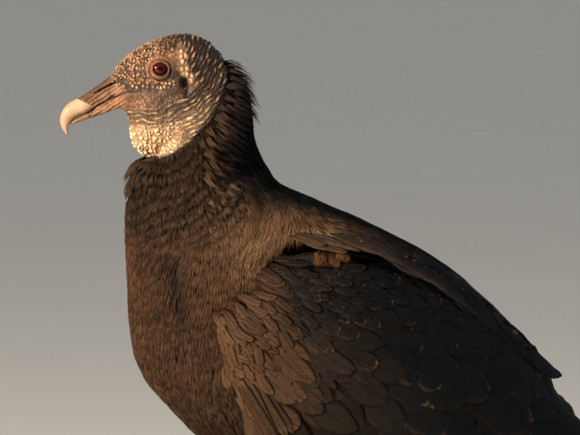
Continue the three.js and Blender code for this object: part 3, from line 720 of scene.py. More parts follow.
skinFinish = material("warty skin", grain, dict(Size=1100.0, Creases=0.35, Mottle=0.14),
                      dict(IOR=1.42, Subsurface_Weight=0.08, Subsurface_Scale=0.003), bump=0.35, bumpSize=0.0003)
hornFinish = material("ivory horn", grain, dict(Size=500.0, Creases=0.06, Mottle=0.07),
                      dict(IOR=1.5, Coat_Weight=0.25, Coat_Roughness=0.3), bump=0.2, bumpSize=0.00015)
clawFinish = material("dark horn", grain, dict(Size=600.0, Creases=0.12, Mottle=0.2),
                      dict(IOR=1.5, Coat_Weight=0.2, Coat_Roughness=0.3), bump=0.25, bumpSize=0.0002)
softFinish = material("soft plumage", barbs, dict(Slant=0.5, Depth=0.4, Shaft=0.0),
                      dict(IOR=1.4, Specular_IOR_Level=0.14, Sheen_Weight=0.03, Sheen_Roughness=0.5), bump=0.4,
                      bumpSize=0.0002, vane=True)
vaneFinish = material("vanes", barbs, dict(Slant=1.3, Depth=0.5, Shaft=0.9),
                      dict(IOR=1.45, Specular_IOR_Level=0.11), bump=0.6, bumpSize=0.0003, vane=True)
eyeFinish = material("eye", grain, dict(Size=1500.0, Creases=0.15, Mottle=0.25),
                     dict(IOR=1.45, Specular_IOR_Level=0.0, Coat_Weight=1.0, Coat_Roughness=0.02, Coat_IOR=1.3),
                     bump=0.02)


# skin, bill, claws and eyes

skinPoints, skinFaces, skinColour = buildSkin()
skin = addPiece("skin", skinPoints, skinFaces, skinFinish, "bare_skin", tint=skinColour)
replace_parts(skin, *flesh)
print("skin", len(skinFaces), "triangles")


hornPlan = dict(
    bill=dict(voxel=0.5, rounds=16), claw=dict(voxel=0.4, rounds=12, swell=0.1),
    ivory=paint(170, 137, 114), greyed=paint(140, 102, 78), hook=paint(188, 161, 132),
    lower=paint(122, 86, 62), clawTint=paint(52, 46, 43),
)


def fineHorn(name, node, tint, finish, slot, voxel, rounds, swell):  # smooth horn in place of a faceted node
    points, faces = meshArrays(remeshed([node], voxel, 0))
    faces = triangles(faces)
    points = relaxed(points, faces, rounds)
    points += vertexNormals(points, faces) * swell
    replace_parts(addPiece(name, points, faces, finish, slot, tint=tint(points)), node)


def upperHornTint(p):  # ivory, greyer toward the cere, palest at the hook
    colour = even(hornPlan["ivory"], p)
    colour = blended(colour, hornPlan["greyed"], 0.75 * ramp(p[:, 1] * 0.5 + p[:, 2] * 0.35, 60.5, 66.5))
    colour = blended(colour, hornPlan["hook"], hump(p[:, 1], -175, 5))
    lines = noise(p * [1, 0.35, 0.35], 1.4, 81) + 0.7 * noise(p, 5, 84)
    return colour * (1 + 0.13 * lines)[:, None]


def lowerHornTint(p):
    return even(hornPlan["lower"], p) * (1 + 0.16 * noise(p, 2.5, 82))[:, None]


def clawTint(p):
    return even(hornPlan["clawTint"], p) * (1 + 0.25 * noise(p, 3, 83))[:, None]


fineHorn("billUpper", "bill_upper", upperHornTint, hornFinish, "ivory_bill", swell=0.15, **hornPlan["bill"])
fineHorn("billLower", "bill_lower", lowerHornTint, hornFinish, "dark_bill", swell=0.1, **hornPlan["bill"])
for side in ("left", "right"):
    for toe in ("middle", "inner", "outer", "hind"):
        fineHorn(f"claw{toe.capitalize()}{side.capitalize()}", f"claw_{toe}_{side}", clawTint, clawFinish, "claw",
                 **hornPlan["claw"])
print("bill and claws ready")


eyePlan = dict(
    radius=7.4, cornea=0.35, pupilEdge=(1.5, 2.0), irisEdge=(3.1, 4.3), whiteEdge=(4.5, 4.8),
    iris=paint(74, 19, 12), irisRim=paint(38, 9, 7), pupil=paint(2, 1, 1), white=paint(30, 20, 18),
    rings=56, around=96,
)


def eyeball(sign):  # rings round the line of sight, with a raised cornea
    e = eyePlan
    rings, around = e["rings"], e["around"]
    polar = np.linspace(0, np.pi, rings + 1)[:, None]
    angle = np.linspace(0, 2 * np.pi, around, endpoint=False)[None]
    radius = e["radius"] + e["cornea"] * hump(polar, 0, 0.55)
    out = radius * np.cos(polar) + 0 * angle
    points = np.stack([sign * (eyeCentre[0] + out), eyeCentre[1] + radius * np.sin(polar) * np.cos(angle),
                       eyeCentre[2] + radius * np.sin(polar) * np.sin(angle)], -1).reshape(-1, 3)
    grid = np.arange(rings * around).reshape(rings, around)
    beside = np.roll(grid, -1, 1)
    faces = np.stack([grid, beside, beside + around, grid + around], -1).reshape(-1, 4)[:, ::-sign]
    spread = np.repeat(e["radius"] * np.sin(polar[:, 0]), around)
    facing = np.repeat(polar[:, 0], around) < 1.5
    spokes = noise(np.stack([np.tile(angle[0], rings + 1) * 9, spread * 0.8, 0 * spread], -1), 1.0, 91)
    iris = blended(even(e["iris"], points) * (1 + 0.35 * spokes)[:, None], e["irisRim"], ramp(spread, *e["irisEdge"]))
    colour = blended(iris, e["pupil"], 1 - ramp(spread, *e["pupilEdge"]))
    colour = blended(colour, e["white"], np.maximum(ramp(spread, *e["whiteEdge"]), 1.0 - facing))
    return points, faces, colour


for side, sign in (("left", 1), ("right", -1)):
    points, faces, colour = eyeball(sign)
    ball = addPiece(f"eye{side.capitalize()}", points, faces, eyeFinish, "eye", tint=colour)
    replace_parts(ball, f"eye_{side}")
print("eyes ready")


# the folded wing's outside, and the feathers of every coat

wingTop = graph([(-86, 283), (-62, 305), (-45, 316), (-20, 322), (14, 321), (48, 309), (83, 288), (117, 260),
                 (145, 231), (164, 209), (200, 174), (240, 146), (272, 130)])
wingLow = graph([(-86, 262), (-80, 242), (-70, 226), (-57, 203), (-45.5, 186), (-12, 154), (40, 126), (105, 104),
                 (175, 93), (272, 92)])
wingReach = graph([(-86, 68), (-78, 77), (-62, 84), (-45, 88), (-10, 91), (30, 89), (70, 81), (110, 69), (150, 58),
                   (190, 52), (230, 45), (272, 37)])


def wingOut(y, z):  # the half width of the folded wing at a place in the side view
    top, base = wingTop(y), wingLow(y)
    up = np.clip((z - (top + base) / 2) / ((top - base) / 2), -1.1, 1.1)
    over = mix(0.36, 0.62, ramp(y, 95, 165))
    under = mix(0.08, 0.28, ramp(y, -70, 30)) - 0.24 * ramp(y, 120, 220)
    return wingReach(y) * (1 - np.where(up > 0, over * np.abs(up) ** 2.4, under * up ** 2))


def bySide(angle, outward=0.0):  # a direction from its slope in the side view, in degrees
    a = np.radians(angle)
    return np.stack([outward + 0 * a, np.cos(a), np.sin(a)], -1)


def lay(surface, roots, flow, length, steps, lift, base, relief):  # shafts that follow the surface, rising to the tip
    spot, normal = surface.settle(roots)
    lines, normals, lost, held = [], [], np.zeros(len(spot)), relief(spot)
    for k in range(steps + 1):
        held = np.maximum(relief(spot), held - 0.15 * length / steps)
        lines.append(spot + normal * (base + lift * length * k / steps + held)[:, None])
        normals.append(normal)
        way = flow(spot)
        way = unit(way - normal * (way * normal).sum(-1, keepdims=True))
        ahead = spot + way * (length / steps)[:, None]
        landed, turned = surface.settle(ahead)
        follow = ((turned * normal).sum(-1) > 0.5)[:, None]
        lost += ~follow[:, 0]
        spot = np.where(follow, landed, ahead - normal * 0.2)
        normal = np.where(follow, turned, normal)
    lines, normals = np.stack(lines, 1), np.stack(normals, 1)
    steps = unit(np.diff(lines, axis=1))
    steady = ((steps[:, 1:] * steps[:, :-1]).sum(-1) > 0.1).all(1)
    steady &= lost < 3
    return lines[steady], normals[steady], steady


def along(lines, v):  # points on each line at parameters v, shape (feathers, count, 3)
    at = np.clip(v, 0, 1) * (lines.shape[1] - 1)
    i = np.minimum(at.astype(int), lines.shape[1] - 2)
    f = (at - i)[..., None]
    rows = np.arange(len(lines)).reshape(-1, *([1] * (v.ndim - 1)))
    return lines[rows, i] * (1 - f) + lines[rows, i + 1] * f


def rootMap(roots):  # a root's place on the bird's unrolled skin: along the body, and round it
    axis = np.array([(-175, 410), (-110, 425), (-92, 350), (-50, 255), (60, 195), (300, 120)], float)
    _, run = pathDistance(roots, axis)
    centre = np.stack([np.interp(run, np.linspace(0, 1, len(axis)), axis[:, k]) for k in (0, 1)], -1)
    ahead = np.stack([np.interp(run + 0.02, np.linspace(0, 1, len(axis)), axis[:, k]) for k in (0, 1)], -1) - centre
    back = unit(np.stack([-ahead[:, 1], ahead[:, 0]], -1) + 1e-6)
    rise = ((roots[:, 1:3] - centre) * back).sum(-1)
    turn = np.arctan2(roots[:, 0], rise) / (2 * np.pi) + 0.5
    spread = np.stack([run, turn], -1)
    low, high = spread.min(0), spread.max(0)
    return 0.01 + 0.98 * (spread - low) / np.maximum(high - low, 1e-6)


def addCoat(name, parts, finish, slot, nodes=()):  # joins feathers into one piece, with their place on the skin
    points, tint, vane, root = (np.concatenate([part[key] for part in parts])
                                for key in ("points", "tint", "vane", "root"))
    starts = np.cumsum([0] + [len(part["points"]) for part in parts])
    faces = np.concatenate([part["faces"] + start for part, start in zip(parts, starts)])
    piece = addPiece(name, points, faces, finish, slot, tint=np.clip(tint, 0.0005, 0.9), vane=vane)
    patch = np.stack([vane[:, 2], np.clip(vane[:, 1] * 4 - 1.5, 0, 1)], -1) - 0.5
    spots = rootMap(root) + 0.003 * patch
    layer = piece.data.uv_layers.new(name="OFBake")
    layer.data.foreach_set("uv", spots[faces.ravel()].astype(np.float32).ravel())
    if nodes:
        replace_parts(piece, *nodes)
    print(name, len(faces), "triangles")


def vanes(lines, normals, width, thick, tint, rows, edge, tipShape=0.30, tip=0.12, base=0.35, camber=0.16, cross=5,
          tilt=0.0, wave=0.06):  # closed, gently arched blades, one to a shaft, with worn rims
    count, n, m = len(lines), len(rows), cross + 1
    v = np.repeat(np.array([rows], float), count, 0)
    centre, up = along(lines, v), unit(along(normals, v))
    ahead = unit(along(lines, np.minimum(v + 0.06, 1)) - along(lines, np.maximum(v - 0.06, 0)))
    sideways = unit(np.cross(ahead, up))
    start = np.clip((v + 0.02) / base, 0, 1) ** 0.6
    ending = np.sqrt(np.clip(1 - (np.clip(v - (1 - tipShape), 0, 1) / tipShape) ** 2, tip ** 2, 1))
    seed = dice.random((count, 4))
    half = width[:, None] / 2 * start * ending * (1 + wave * np.sin(9 * v + 6.3 * seed[:, :1]))
    u = np.linspace(-1, 1, m)
    lateral = sideways[:, :, None] * (half[..., None] * u)[..., None]
    arch = camber * (1 - u ** 2) * half[..., None] + tilt * u * half[..., None]
    arch = arch + 0.3 * np.sin(5 * v[..., None] + 2.5 * u + 6.3 * seed[:, 1, None, None]) * v[..., None]
    body = centre[:, :, None] + lateral + up[:, :, None] * arch[..., None]
    notch = np.stack(np.broadcast_arrays(np.arange(count)[:, None], u * 50, 0.0), -1)
    jag = (hashed(notch, 3) - 0.5) * width[:, None] * 0.05
    body = body + ahead[:, :, None] * (jag[:, None] * (v[..., None] > 0.85))[..., None]
    gap = thick * np.sqrt(np.clip(1 - (0.92 * u) ** 2, 0, 1))
    top = body + up[:, :, None] * (gap / 2)[:, None]
    under = (body - up[:, :, None] * (gap / 2)[:, None])[:, :, 1:-1]
    ring = np.concatenate([top, under[:, :, ::-1]], 2)  # round the section: over the top, back underneath
    size = m + (m - 2)
    points = ring.reshape(-1, 3)
    across = np.concatenate([u, u[1:-1][::-1]])
    grid = np.arange(n * size).reshape(n, size)
    a, b = grid[:-1], grid[1:]
    a2, b2 = np.roll(a, -1, 1), np.roll(b, -1, 1)
    faces = [np.stack([a, b, b2], -1).reshape(-1, 3), np.stack([a, b2, a2], -1).reshape(-1, 3)]
    for row, flip in ((grid[0], True), (grid[-1], False)):
        overs, unders = row[:m], np.concatenate([row[:1], row[m:][::-1], row[m - 1:m]])
        quad = np.stack([overs[:-1], overs[1:], unders[1:], unders[:-1]], -1)
        tri = np.concatenate([quad[:, [0, 1, 2]], quad[:, [0, 2, 3]]])
        tri = tri[(tri[:, 0] != tri[:, 1]) & (tri[:, 1] != tri[:, 2]) & (tri[:, 0] != tri[:, 2])]
        faces.append(tri if flip else tri[:, ::-1])
    faces = np.concatenate(faces)
    faces = (faces[None] + (np.arange(count) * n * size)[:, None, None]).reshape(-1, 3)
    vAll = np.repeat(v[:, :, None], size, 2)
    uAll = np.broadcast_to(across, vAll.shape)
    # painted shade: each feather darker toward its base, under the feathers that overlap it
    colour = np.repeat(np.repeat(tint[:, None, None], n, 1), size, 2) * (0.80 + 0.35 * vAll)[..., None]
    rim = np.maximum(ramp(vAll, 0.95, 0.995), 0.35 * ramp(np.abs(uAll), 0.85, 1.0) * ramp(vAll, 0.5, 0.8))
    colour = blended(colour, coatTints["worn"], rim * edge[:, None, None])
    reach = np.linalg.norm(np.diff(lines, axis=1), axis=-1).sum(-1)
    vane = np.stack([vAll * reach[:, None, None] / 100, 0.5 + uAll * half[..., None] / 100, vAll,
                     np.broadcast_to(seed[:, 2, None, None], vAll.shape)], -1)
    return dict(points=points, faces=faces, tint=colour.reshape(-1, 3), vane=vane.reshape(-1, 4),
                root=np.repeat(lines[:, 0], n * size, 0))


def tufts(lines, normals, width, blades, blade, tint, tip, lengthSpread=0.3, rise=0.9, fan=0.55):
    # narrow closed barbs side by side, frayed at the tip
    t = np.array([0, 0.5, 1.0])
    count, n = len(lines), len(t)
    seed = dice.random((6, count, blades))
    u = (np.arange(blades) + 0.5) / blades * 2 - 1 + (seed[0] - 0.5) * 1.6 / blades
    share = (1 - 0.22 * np.abs(u) ** 2) * (1 - lengthSpread * seed[1])
    flat = (share[..., None] * t).reshape(count, -1)
    centre = along(lines, flat).reshape(count, blades, n, 3)
    up = unit(along(normals, flat)).reshape(count, blades, n, 3)
    ahead = unit(along(lines, np.minimum(flat + 0.1, 1)) - along(lines, np.maximum(flat - 0.1, 0)))
    ahead = ahead.reshape(centre.shape)
    sideways = unit(np.cross(ahead, up))
    spread = (1 - fan) + fan * np.sqrt(t)
    offset = u[..., None] * width / 2 * spread
    lifted = (seed[2][..., None] - 0.35) * rise * t ** 1.3 + 0.25 * (1 - np.abs(u[..., None])) - 0.3 * (t == 0)
    bend = (seed[3][..., None] - 0.5) * 0.25 * width * t ** 2
    centre = centre + sideways * (offset + bend)[..., None] + up * lifted[..., None]
    body = blade * (0.75 + 0.5 * seed[4][..., None]) * np.maximum(1 - t ** 1.6, 0)
    body = body[:, :, :-1, None]
    c, s, h = centre[:, :, :-1], sideways[:, :, :-1], up[:, :, :-1]
    left, right, crest = c - s * body, c + s * body, c + h * body * 0.75
    ring = np.stack([left, crest, right], 3).reshape(count, blades, -1, 3)
    points = np.concatenate([ring, centre[:, :, -1:]], 2)
    per = 3 * (n - 1) + 1
    faces = [[0, 1, 2]]
    for k in range(n - 2):
        for j in range(3):
            a, b = 3 * k + j, 3 * k + (j + 1) % 3
            faces += [[a, a + 3, b + 3], [a, b + 3, b]]
    last = 3 * (n - 2)
    faces += [[last, per - 1, last + 1], [last + 1, per - 1, last + 2], [last + 2, per - 1, last]]
    faces = np.array(faces)[:, ::-1]
    faces = (faces[None] + (np.arange(count * blades) * per)[:, None, None]).reshape(-1, 3)
    level = np.concatenate([np.repeat(t[:-1], 3), [1.0]])
    # painted shade and light: each barb darker at its root and lighter toward its tip, times a random tone
    shade = (0.72 + 0.5 * seed[5])[..., None] * (0.55 + 0.55 * level)
    colour = tint[:, None, None] * ((1 + (tip - 1) * 0.75 * level ** 1.5) * shade)[..., None]
    vane = np.zeros((count, blades, per, 4))
    vane[..., 0] = level * 0.1 + seed[0][..., None]
    vane[..., 1] = 0.5 + u[..., None] * 0.1
    vane[..., 2] = level
    vane[..., 3] = seed[5][..., None]
    return dict(points=points.reshape(-1, 3), faces=faces, tint=colour.reshape(-1, 3), vane=vane.reshape(-1, 4),
                root=np.repeat(lines[:, 0], blades * per, 0))


coatTints = dict(
    # the shoulder colour is a painted highlight
    neck=paint(62, 44, 30), breast=paint(72, 49, 33), belly=paint(40, 23, 12), shoulder=paint(116, 90, 68),
    # the rear and low wing colours are partly the feathers' own black and partly painted shade
    back=paint(15, 18, 22), wing=paint(32, 26, 22), rear=paint(7, 10, 14), lowWingBlackAndShade=paint(6, 5, 5),
    frontWing=paint(74, 53, 36), worn=paint(128, 98, 72), tuft=paint(112, 76, 46), quill=paint(8, 9, 11),
)


def plumageTint(p):  # the coat's colour by place, warmer in front and blacker behind
    x, y, z = p[:, 0], p[:, 1], p[:, 2]
    colour = even(coatTints["back"], p)
    colour = blended(colour, coatTints["breast"], ramp(-y, 10, 75))
    colour = blended(colour, coatTints["neck"], ramp(z, 300, 345))
    colour = blended(colour, coatTints["back"], ramp(y, -96, -58) * np.maximum(ramp(z, 320, 350), ramp(y, -34, -4)))
    # painted highlight: a lighter brown on the top of the shoulder, toward its outer side
    shoulder = 0.95 * hump(y, -38, 46) * hump(z, 330, 32) * ramp(np.abs(x), 20, 48)
    colour = blended(colour, coatTints["shoulder"], shoulder)
    colour = blended(colour, coatTints["belly"], ramp(-z, -235, -175) * ramp(-y, -95, -30))
    # painted highlight on the lip of each neck row, and painted shade in the crease above it and in the breast furrow
    rows = onNeck(p) * (coatFolds["rowLightAndShade"] * neckFolds(p) - 0.78)
    colour = colour * (1 + rows - 0.6 * breastFurrow(p))[:, None]
    # painted shadow: the coat darker behind the ruff, up the nape
    colour = colour * (1 - 0.45 * ramp(y, -100, -84) * ramp(z, 372, 390))[:, None]
    return colour * (1 + 0.25 * noise(p, 14, 101) + 0.18 * noise(p, 4, 102))[:, None]


def bodySlope(p):
    y, z = p[:, 1], p[:, 2]
    neck = mix(mix(-112, -84, ramp(y, -140, -100)), -46, ramp(y, -104, -62))
    breast = mix(-93, -66, ramp(y, -110, -20))
    belly = mix(-66, -14, ramp(y, -100, 80))
    slope = mix(mix(neck, breast, ramp(-z, -345, -300)), belly, ramp(-z, -240, -160))
    slope = mix(slope, -108, 0.9 * hump(y, -48, 30) * hump(z, 322, 30))
    return slope + 11 * noise(p, 26, 111) + 7 * noise(p, 9, 112)


def bodyFlow(p):
    return bySide(bodySlope(p), 0.12 * np.sign(p[:, 0]) * ramp(p[:, 1], -90, -60))


bodySurface = Surface(*meshArrays(remeshed(["head", "neck", "trunk", "mantle", "thigh_left", "thigh_right"], 3.0, 6)))
print("coat surface ready")


def softCoat(inside, spacing, length, width, blades, blade, count, lift=0.05, base=-2.0, flow=bodyFlow, tip=1.35,
             paintedLight=1.0, **shape):  # soft feathers wherever the zone is, on the body
    roots = bodySurface.scatter(lambda p: spacing * (0.9 + 0.2 * dice.random(len(p))), inside, count)
    sizes = length(roots) * (0.8 + 0.4 * dice.random(len(roots)))
    lines, normals, steady = lay(bodySurface, roots, flow, sizes, 4, lift, base, coatRelief)
    roots = roots[steady]
    # the tint is scaled lighter or darker to paint light or shade on a zone
    tint = plumageTint(roots) * (paintedLight * (0.85 + 0.3 * dice.random(len(roots))))[:, None]
    return tufts(lines, normals, width, blades, blade, tint, tip, **shape)


def same(value):
    return lambda p: np.full(len(p), float(value))


def rowLength(p):  # feathers on the neck end just past the lip of their own row
    return mix(12, 5.6 + 7.4 * foldPhase(p), onNeck(p))


def edgeBand(low, high):
    return lambda c, n: (pastEdge(c) > low) & (pastEdge(c) < high) & (c[:, 2] > 330)


def underMantle(c, n):  # the hollow between the mantle's lip and the wing
    return (c[:, 1] > -52) & (c[:, 2] > 200)


def ruffFlow(p):
    return bySide(mix(-80, -24, ramp(p[:, 1], -105, -70)) + 16 * noise(p, 7, 151), 0.25 * np.sign(p[:, 0]))


def spikes(low, high, behind, **settings):  # pointed tufts that stand off the neck
    def inside(c, n):
        return edgeBand(low, high)(c, n) & (c[:, 1] > behind)
    return softCoat(inside, flow=ruffFlow, **collarPlan["spike"], **settings)


def neckZone(c, n):
    return (pastEdge(c) >= 7) & (c[:, 2] > 318) & (c[:, 1] < -38)


def breastZone(c, n):
    return (c[:, 2] <= 322) & (c[:, 2] > 205) & (c[:, 1] < -40) & ~underMantle(c, n)


def bellyZone(c, n):
    return (c[:, 2] <= 209) & (c[:, 2] > 92) & (c[:, 1] < 170)


collarPlan = dict(
    # painted shade on the collar's under-coat, and painted light on the spikes, with brighter tips
    under=dict(spacing=1.7, length=same(8), width=3.0, blades=7, blade=0.30, count=30000, base=-1.6, paintedLight=0.8),
    spike=dict(width=2.4, blades=5, blade=0.62, count=4000, base=-2.5, rise=1.0, fan=-1.2, lengthSpread=0.4, tip=2.3,
               paintedLight=1.7),
    spikes=[dict(low=1, high=12, behind=-94, spacing=4.4, length=same(17), lift=0.70),
            dict(low=10, high=26, behind=-92, spacing=5.0, length=same(17), lift=0.58),
            dict(low=24, high=46, behind=-92, spacing=6.0, length=same(15), lift=0.16)],
)
neckPlan = dict(spacing=2.5, length=rowLength, width=4.4, blades=7, blade=0.42, count=60000, lift=0.04)
breastPlan = dict(spacing=3.9, length=same(15), width=6.5, blades=9, blade=0.55, count=50000)
bellyPlan = dict(spacing=5.2, length=same(20), width=9.5, blades=9, blade=0.75, count=60000)

collarUnder = softCoat(edgeBand(0.5, 9), **collarPlan["under"])
addCoat("collarCoat", [collarUnder] + [spikes(**row) for row in collarPlan["spikes"]], softFinish, "soft_plumage")
for name, zone, plan in (("neckCoat", neckZone, neckPlan), ("breastCoat", breastZone, breastPlan),
                         ("bellyCoat", bellyZone, bellyPlan)):
    addCoat(name, [softCoat(zone, **plan)], softFinish, "soft_plumage")


# wings

wingFocus = np.array([-127.5, 366.7])


def onWing(y, z, height, side):  # places and normals above the folded wing, on one side of the bird
    slopes = [(wingOut(y + 2 * i, z + 2 * j) - wingOut(y - 2 * i, z - 2 * j)) / 4 for i, j in ((1, 0), (0, 1))]
    normal = unit(np.stack([1 + 0 * slopes[0], -slopes[0], -slopes[1]], -1))
    flip = np.array([side, 1, 1])
    return (np.stack([wingOut(y, z), y, z], -1) + normal * height[..., None]) * flip, normal * flip


def wingTint(y, z, side):
    p = np.stack([0 * y + 60 * side, y, z], -1)
    # darker toward the rear and the bottom: partly the feathers' own black, partly painted shade
    colour = blended(coatTints["wing"][None], coatTints["rear"], ramp(y + 0.35 * (z - 250), -50, 35))
    colour = blended(colour, coatTints["lowWingBlackAndShade"], ramp(-z, -245, -205) * ramp(-y, -60, 0))
    colour = blended(colour, coatTints["frontWing"], 0.85 * ramp(-y - 0.25 * np.abs(z - 262), 30, 66))
    return colour * (1 + 0.28 * noise(p, 22, 121) + 0.24 * noise(p, 7, 122))[:, None]


def coverts(side, turn, pitch, low, high, length, spread, base, rows, cross):  # one tract of overlapping rows
    found = []
    for i, angle in enumerate(np.radians(np.arange(-84, -6, turn))):
        levels = np.arange(40 / pitch, 450 / pitch) * pitch + (pitch / 2 if i % 2 else 0)
        y, z = wingFocus[0] + levels * np.cos(angle), wingFocus[1] + levels * np.sin(angle)
        found.append(np.stack([y, z, np.full(len(y), angle), levels], -1))
    y, z, angle, reach = np.concatenate(found).T
    jitter = dice.normal(size=(3, len(y)))
    y, z = y + 0.14 * pitch * jitter[0], z + 0.14 * pitch * jitter[1]
    depth = (wingTop(y) - z) * mix(1, 0.42, ramp(-y, 30, 78))
    depth = depth + 5 * noise(np.stack([0 * y, y, z], -1), 18, 123)
    width = np.clip(reach * np.radians(turn) * spread, 6, 34)
    topmost = 9 * ramp(y, -48, -34) * ramp(-y, -40, -22) + 3 + 0.45 * width
    keep = (depth > low + (topmost if low < 0 else 0)) & (depth < high)
    keep &= (y > -87) & (y < 175) & (z > wingLow(y) + 2)
    y, z, angle, width, jitter = y[keep], z[keep], angle[keep], width[keep], jitter[:, keep]
    angle = angle + np.radians(mix(11, 5, ramp(pitch, 6, 15)) * jitter[2]) + np.radians(8) * ramp(-depth[keep], -30, 0)
    size = length * (0.88 + 0.24 * dice.random(len(y)))
    ahead = np.clip(y + 0.4 * length, -80, 262)
    topSlope = np.arctan2(wingTop(ahead + 5) - wingTop(ahead - 5), 10) - np.radians(4)
    angle = np.where(y > 0, np.minimum(angle, mix(angle, topSlope, ramp(-depth[keep], -46, -10))), angle)
    width = width * (0.9 + 0.2 * dice.random(len(y)))
    v = np.linspace(0, 1, 5)
    bend = np.radians(10) * (v[None] ** 2) * (0.6 + 0.4 * dice.normal(size=(len(y), 1)))
    ys = y[:, None] + size[:, None] * v * np.cos(angle[:, None] + bend)
    zs = z[:, None] + size[:, None] * v * np.sin(angle[:, None] + bend)
    height = base + 0.05 * size[:, None] * v - 1.2 * (v == 0) + 0.5 * dice.normal(size=(len(y), 1)) * v
    lines, normals = onWing(ys, zs, height, side)
    worn = ramp(dice.random(len(y)), 0.35, 1.0) ** 1.5 * hump(y, -25, 85) * hump(z, 255, 70)
    tint = wingTint(y, z, side) * (0.8 + 0.4 * dice.random(len(y)))[:, None]
    return vanes(lines, normals, width, 0.3, tint, rows, 0.08 + 0.9 * worn, tipShape=0.34, tip=0.16, base=0.3,
                 camber=0.08, cross=cross)


def flightFan(side, count, roots, tips, sag, lift, width, step, tipShape, taper=1.0):  # long feathers laid in a fan
    t = (np.arange(count) + 0.5) / count
    at = [graph(zip((0, 0.5, 1), row))(t)[:, None] for ends in (roots, tips) for row in zip(*ends)]
    v = np.linspace(0, 1, 9)[None]
    jitter = dice.normal(size=(3, count, 1))
    y = mix(at[0], at[2] + 1.5 * jitter[0], v)
    z = mix(at[1], at[3] + 0.8 * jitter[1], v) - 4 * v * (1 - v) * mix(sag[0], sag[1], t)[:, None]
    height = lift - step * np.arange(count)[:, None] + 1.2 * v + 0.3 * jitter[2] - 2.0 * (v == 0)
    lines, normals = onWing(y, z, height, side)
    tint = wingTint(y[:, 4], z[:, 4], side) * 0.4 + coatTints["quill"] * 0.6
    tint = tint * (0.85 + 0.3 * dice.random(count))[:, None]
    rows = (0, 0.1, 0.2, 0.3, 0.4, 0.5, 0.6, 0.7, 0.78, 0.85, 0.91, 0.955, 0.985, 1.0)
    return vanes(lines, normals, width * np.linspace(1, taper, count), 0.6, tint, rows, np.full(count, 0.35),
                 tipShape=tipShape, base=0.12, camber=0.09, cross=8, tilt=-0.05 * side, wave=0.03)


rimPlan = dict(rows=3, perRow=21, length=16.0, width=9.5, thumbLengths=[56, 52, 47, 42], thumbWidth=10.0)


def leadingEdge(side):  # small scallops along the rim of the wing, and the long narrow feathers of its thumb
    small = rimPlan["rows"] * rimPlan["perRow"]
    count = small + len(rimPlan["thumbLengths"])
    row = np.repeat(np.arange(rimPlan["rows"]), rimPlan["perRow"])
    t = np.tile(np.linspace(0, 1, rimPlan["perRow"]), rimPlan["rows"]) + 0.016 * (row == 1)
    y = np.concatenate([mix(-86, -65, t ** 1.4) + 4.8 * row, [-73, -69, -65, -61]])
    z = np.concatenate([mix(291, 213, t), [238, 238, 236, 233]])
    y, z = y + 0.7 * dice.normal(size=count), z + 0.7 * dice.normal(size=count)
    slope = np.radians(np.concatenate([mix(-84, -60, t), [-64, -62, -60, -58]]) + 5 * dice.normal(size=count))
    size = np.concatenate([np.full(small, rimPlan["length"]), rimPlan["thumbLengths"]])
    size = size * (0.9 + 0.2 * dice.random(count))
    width = np.where(np.arange(count) < small, rimPlan["width"], rimPlan["thumbWidth"])
    v = np.linspace(0, 1, 5)[None]
    lift = np.concatenate([mix(-4, 1, ramp(t, 0, 0.3)) - 0.3 * row, [2.0, 1.6, 1.2, 0.8]])
    lines, normals = onWing(y[:, None] + size[:, None] * v * np.cos(slope)[:, None],
                            z[:, None] + size[:, None] * v * np.sin(slope)[:, None],
                            lift[:, None] + 0.05 * size[:, None] * v - 1.2 * (v == 0), side)
    shade = (0.8 + 0.4 * dice.random(count)) * np.where(np.arange(count) < small, 1, 0.5)
    tint = wingTint(y, z, side) * shade[:, None]
    edge = np.concatenate([0.1 + 0.3 * dice.random(small), np.full(count - small, 0.45)])
    return vanes(lines, normals, width, 0.35, tint, (0, 0.3, 0.6, 0.85, 1.0), edge, tipShape=0.34, tip=0.16, base=0.3,
                 camber=0.10)


fine, broad = (0, 0.4, 0.7, 0.88, 1.0), (0, 0.25, 0.5, 0.7, 0.84, 0.94, 1.0)  # where along a feather its rows lie
wingPlan = dict(
    tracts=[dict(turn=1.9, pitch=5.4, low=-4, high=44, length=19, spread=1.8, base=0.9, rows=fine, cross=4),
            dict(turn=2.9, pitch=9.0, low=34, high=70, length=36, spread=2.1, base=0.2, rows=broad, cross=5),
            dict(turn=3.8, pitch=15.5, low=62, high=106, length=56, spread=2.0, base=-1.0, rows=broad, cross=6),
            dict(turn=4.6, pitch=21, low=96, high=150, length=68, spread=1.9, base=-1.8, rows=broad, cross=6)],
    fans=dict(  # roots and tips are for the first, middle and last feather
        tertials=dict(count=5, roots=[(50, 284), (38, 270), (30, 254)], tips=[(157, 205), (166, 191), (167, 176)],
                      sag=(-9, -3), lift=-0.5, width=30, step=0.7, tipShape=0.22),
        secondaries=dict(count=10, roots=[(34, 262), (0, 226), (-30, 196)], tips=[(171, 186), (170, 160), (137, 121)],
                         sag=(0, 7), lift=-3.5, width=26, step=0.55, tipShape=0.16, taper=0.85),
        primaries=dict(count=9, roots=[(40, 200), (10, 178), (-22, 164)], tips=[(205, 138), (263, 108), (271, 93)],
                       sag=(6, 24), lift=-8.5, width=22, step=0.5, tipShape=0.2, taper=0.8)),
)
for side, word in ((1, "Left"), (-1, "Right")):
    addCoat("wingCoat" + word, [coverts(side, **tract) for tract in wingPlan["tracts"]] + [leadingEdge(side)],
            vaneFinish, "wing_feathers")
    addCoat("flightFeathers" + word, [flightFan(side, **fan) for fan in wingPlan["fans"].values()],
            vaneFinish, "wing_feathers", [f"{fan}_{word.lower()}" for fan in wingPlan["fans"]])


# back and tail

mantleLip = graph([(-66, 304), (-46, 317.5), (-18, 323), (16, 321), (52, 306), (86, 283), (126, 248), (150, 230)])
mantleSurface = Surface(*meshArrays(remeshed(["neck", "trunk", "mantle"], 3.0, 6)))


